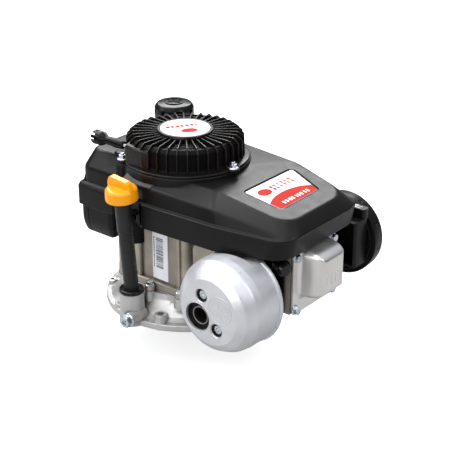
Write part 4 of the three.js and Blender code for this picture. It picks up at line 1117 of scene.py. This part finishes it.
# %% Drain plug and spark plug boot
plug = carved(screw_head(14.5, 9, 10, 2.4), [], [slab(-3.6, 3.6, -3.6, 3.6, 3.5, 12)])
points, faces = merged(plug, turned([(0, -14), (5, -14), (5, 0.5), (0, 0.5)], 32))
piece("drain_plug_look", ([(7 + x, -124.3 - z, 13 + y) for x, y, z in points], faces), ZINC,
      instead=["drain_plug"], sharp=25)
PLUG_WAY = Vector((math.cos(math.radians(-30)), math.sin(math.radians(-30)), 0))
boot = turned([(5.4, 9.6, 0.4), (9.2, 9.6, 1), (9.4, 12, 0.6), (8.4, 13, 0.6), (8.2, 20, 0.5),
               (9.2, 21, 0.5), (9.2, 31, 2.5), (6, 35, 1.5), (0, 35.5), (0, 28), (5.4, 28)], 48, closed=True)
boot = [tuple(PLUG_WAY.to_track_quat("Z", "Y").to_matrix() @ Vector(p) + Vector((176, -38, 120)))
        for p in boot[0]], boot[1]
piece("plug_boot_look", boot, RUBBER, instead=["plug_boot"], sharp=40)

# %% [markdown]
# The air filter stands on the side away from the silencer: a box over the carburettor, a ribbed
# round cover with notches in its rim, a grating behind it, and a pleated paper ring inside.

# %% Air filter
FX, FZ = 166.4, 95.8
plate = lengthwise([(0, 119), (48, 119), (48, 121.4), (53.4, 121.4, 0.6), (53.4, 124.4, 0.6), (0, 124.4)],
                   96, x=FX, z=FZ)
box = [slab(150, 211, 88.4, 119.5, 69, 133, 5), slab(168, 211, 107, 119.5, 132, 146, 4)]
filter_body = carved(plate, box, [slab(153, 208, 86, 118, 72, 130, 3),
                                  lengthwise([(0, 117), (16, 117), (16, 126), (0, 126)], 48, x=160, z=98)])
piece("filter_box", filter_body, COVER_BLACK, instead=["air_filter_base"], edge=1.0,
      sharp=38)
cover = lengthwise([(54.4, 120), (56.4, 120, 0.6), (56.4, 126, 1), (55.2, 139, 2), (51, 142.4, 2),
                    (46, 141.6, 1.5), (30, 142.4, 2), (12, 143.2, 2), (0, 143.6),
                    (0, 141.5), (49.4, 140), (52.9, 138), (54.4, 122)], 128, True, x=FX, z=FZ)
notches = []
for i in range(10):
    notches.append(placed(placed(slab(55.4, 60, -3, 3, 126, 134, 1), turn=36 * i + 8), (FX, 0, FZ), "Y"))
cover = carved(cover, [], notches)
piece("filter_cover_look", cover, COVER_BLACK, body="filter_cover",
      instead=["air_filter_cover"], sharp=35)
teeth = []
for i in range(48):
    teeth.append(placed(placed(slab(41, 48.5, -0.8, 0.8, 117.2, 119.6, 0.3), turn=7.5 * i), (FX, 0, FZ), "Y"))
teeth.append(lengthwise([(48.5, 119.6), (50.2, 119.6), (50.2, 116.6, 0.5), (48.5, 116.6, 0.5)], 96, True,
                        x=FX, z=FZ))
teeth.append(lengthwise([(39.5, 119.6), (41.2, 119.6), (41.2, 117.2, 0.3), (39.5, 117.2, 0.3)], 96, True,
                        x=FX, z=FZ))
piece("filter_grating", merged(*teeth), COVER_BLACK, sharp=30)
spokes = []
for i in range(12):
    spokes.append(placed(placed(slab(16, 44, -0.8, 0.8, 141.2, 143.8, 0.6), turn=30 * i + 9), (FX, 0, FZ),
                         "Y"))
piece("filter_cover_spokes", merged(*spokes), COVER_BLACK, body="filter_cover")
pleats = 90
outer, inner = [], []
for y in (125.4, 137.8):
    outer.append([(FX + (46.8 if i % 2 else 43.6) * math.cos(math.tau * i / (2 * pleats)), y,
                   FZ + (46.8 if i % 2 else 43.6) * math.sin(math.tau * i / (2 * pleats)))
                  for i in range(2 * pleats)])
    inner.append([(FX + (33.4 if i % 2 else 30.2) * math.cos(math.tau * i / (2 * pleats)), y,
                   FZ + (33.4 if i % 2 else 30.2) * math.sin(math.tau * i / (2 * pleats)))
                  for i in range(2 * pleats)])
n = 2 * pleats
points = outer[0] + outer[1] + inner[1] + inner[0]
faces = [(r * n + i, r * n + (i + 1) % n, ((r + 1) % 4) * n + (i + 1) % n, ((r + 1) % 4) * n + i)
         for r in range(4) for i in range(n)]
piece("filter_pleats", (points, faces), FILTER_PAPER, instead=["filter_element"],
      sharp=20)
piece("filter_label", merged(*[slab(176, 203 - 6 * (i % 3), 109.4 + 1.7 * i, 110.2 + 1.7 * i, 146, 146.25,
                                    0.3) for i in range(5)]), WHITE_PRINT)

# %% [markdown]
# The working parts inside keep their measured shapes. They still need their metal: a ground shaft,
# an iron flywheel, a bright piston. Their faces are shaded smooth, with edges over 32 degrees kept
# sharp, which leaves their points where they were measured.

# %% Finishes of the measured pieces
WEARS = {
    STEEL: ["crankshaft_lower", "crankshaft_upper", "pto_key", "crankpin", "wrist_pin", "valve_intake",
            "valve_exhaust", "valve_spring_intake",
            "valve_spring_exhaust", "rocker_arm_intake", "rocker_arm_exhaust", "starter_cup",
            "recoil_spring", "dipstick_blade", "throttle_lever"],
    IRON: ["camshaft", "flywheel", "head_gasket"],
    CAST_METAL: ["cylinder_head", "connecting_rod", "carburettor"],
    PRESSED: ["piston"],
    ZINC: ["spark_plug", "flywheel_nut"],
    COVER_BLACK: ["cooling_fan", "rope_reel", "choke_lever"],
    RUBBER: ["oil_seal", "fuel_cap_seal", "ignition_coil", "intake_spacer"],
    GASKET: ["sump_gasket"],
}
for surface, names in WEARS.items():
    for name in names:
        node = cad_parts[name]
        node.data.materials.clear()
        node.data.materials.append(surface)
        node.data.polygons.foreach_set("use_smooth", [True] * len(node.data.polygons))
        node.data.set_sharp_from_angle(angle=math.radians(32))
shown = sorted(name for name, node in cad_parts.items() if not node.hide_render)
print("measured pieces that still show:", shown)

# %% [markdown]
# Last, the box of the frame is printed.

# %% Sizes and finish
print("frame box", [round(v, 4) for v in (*cad_box[0], *cad_box[1])])
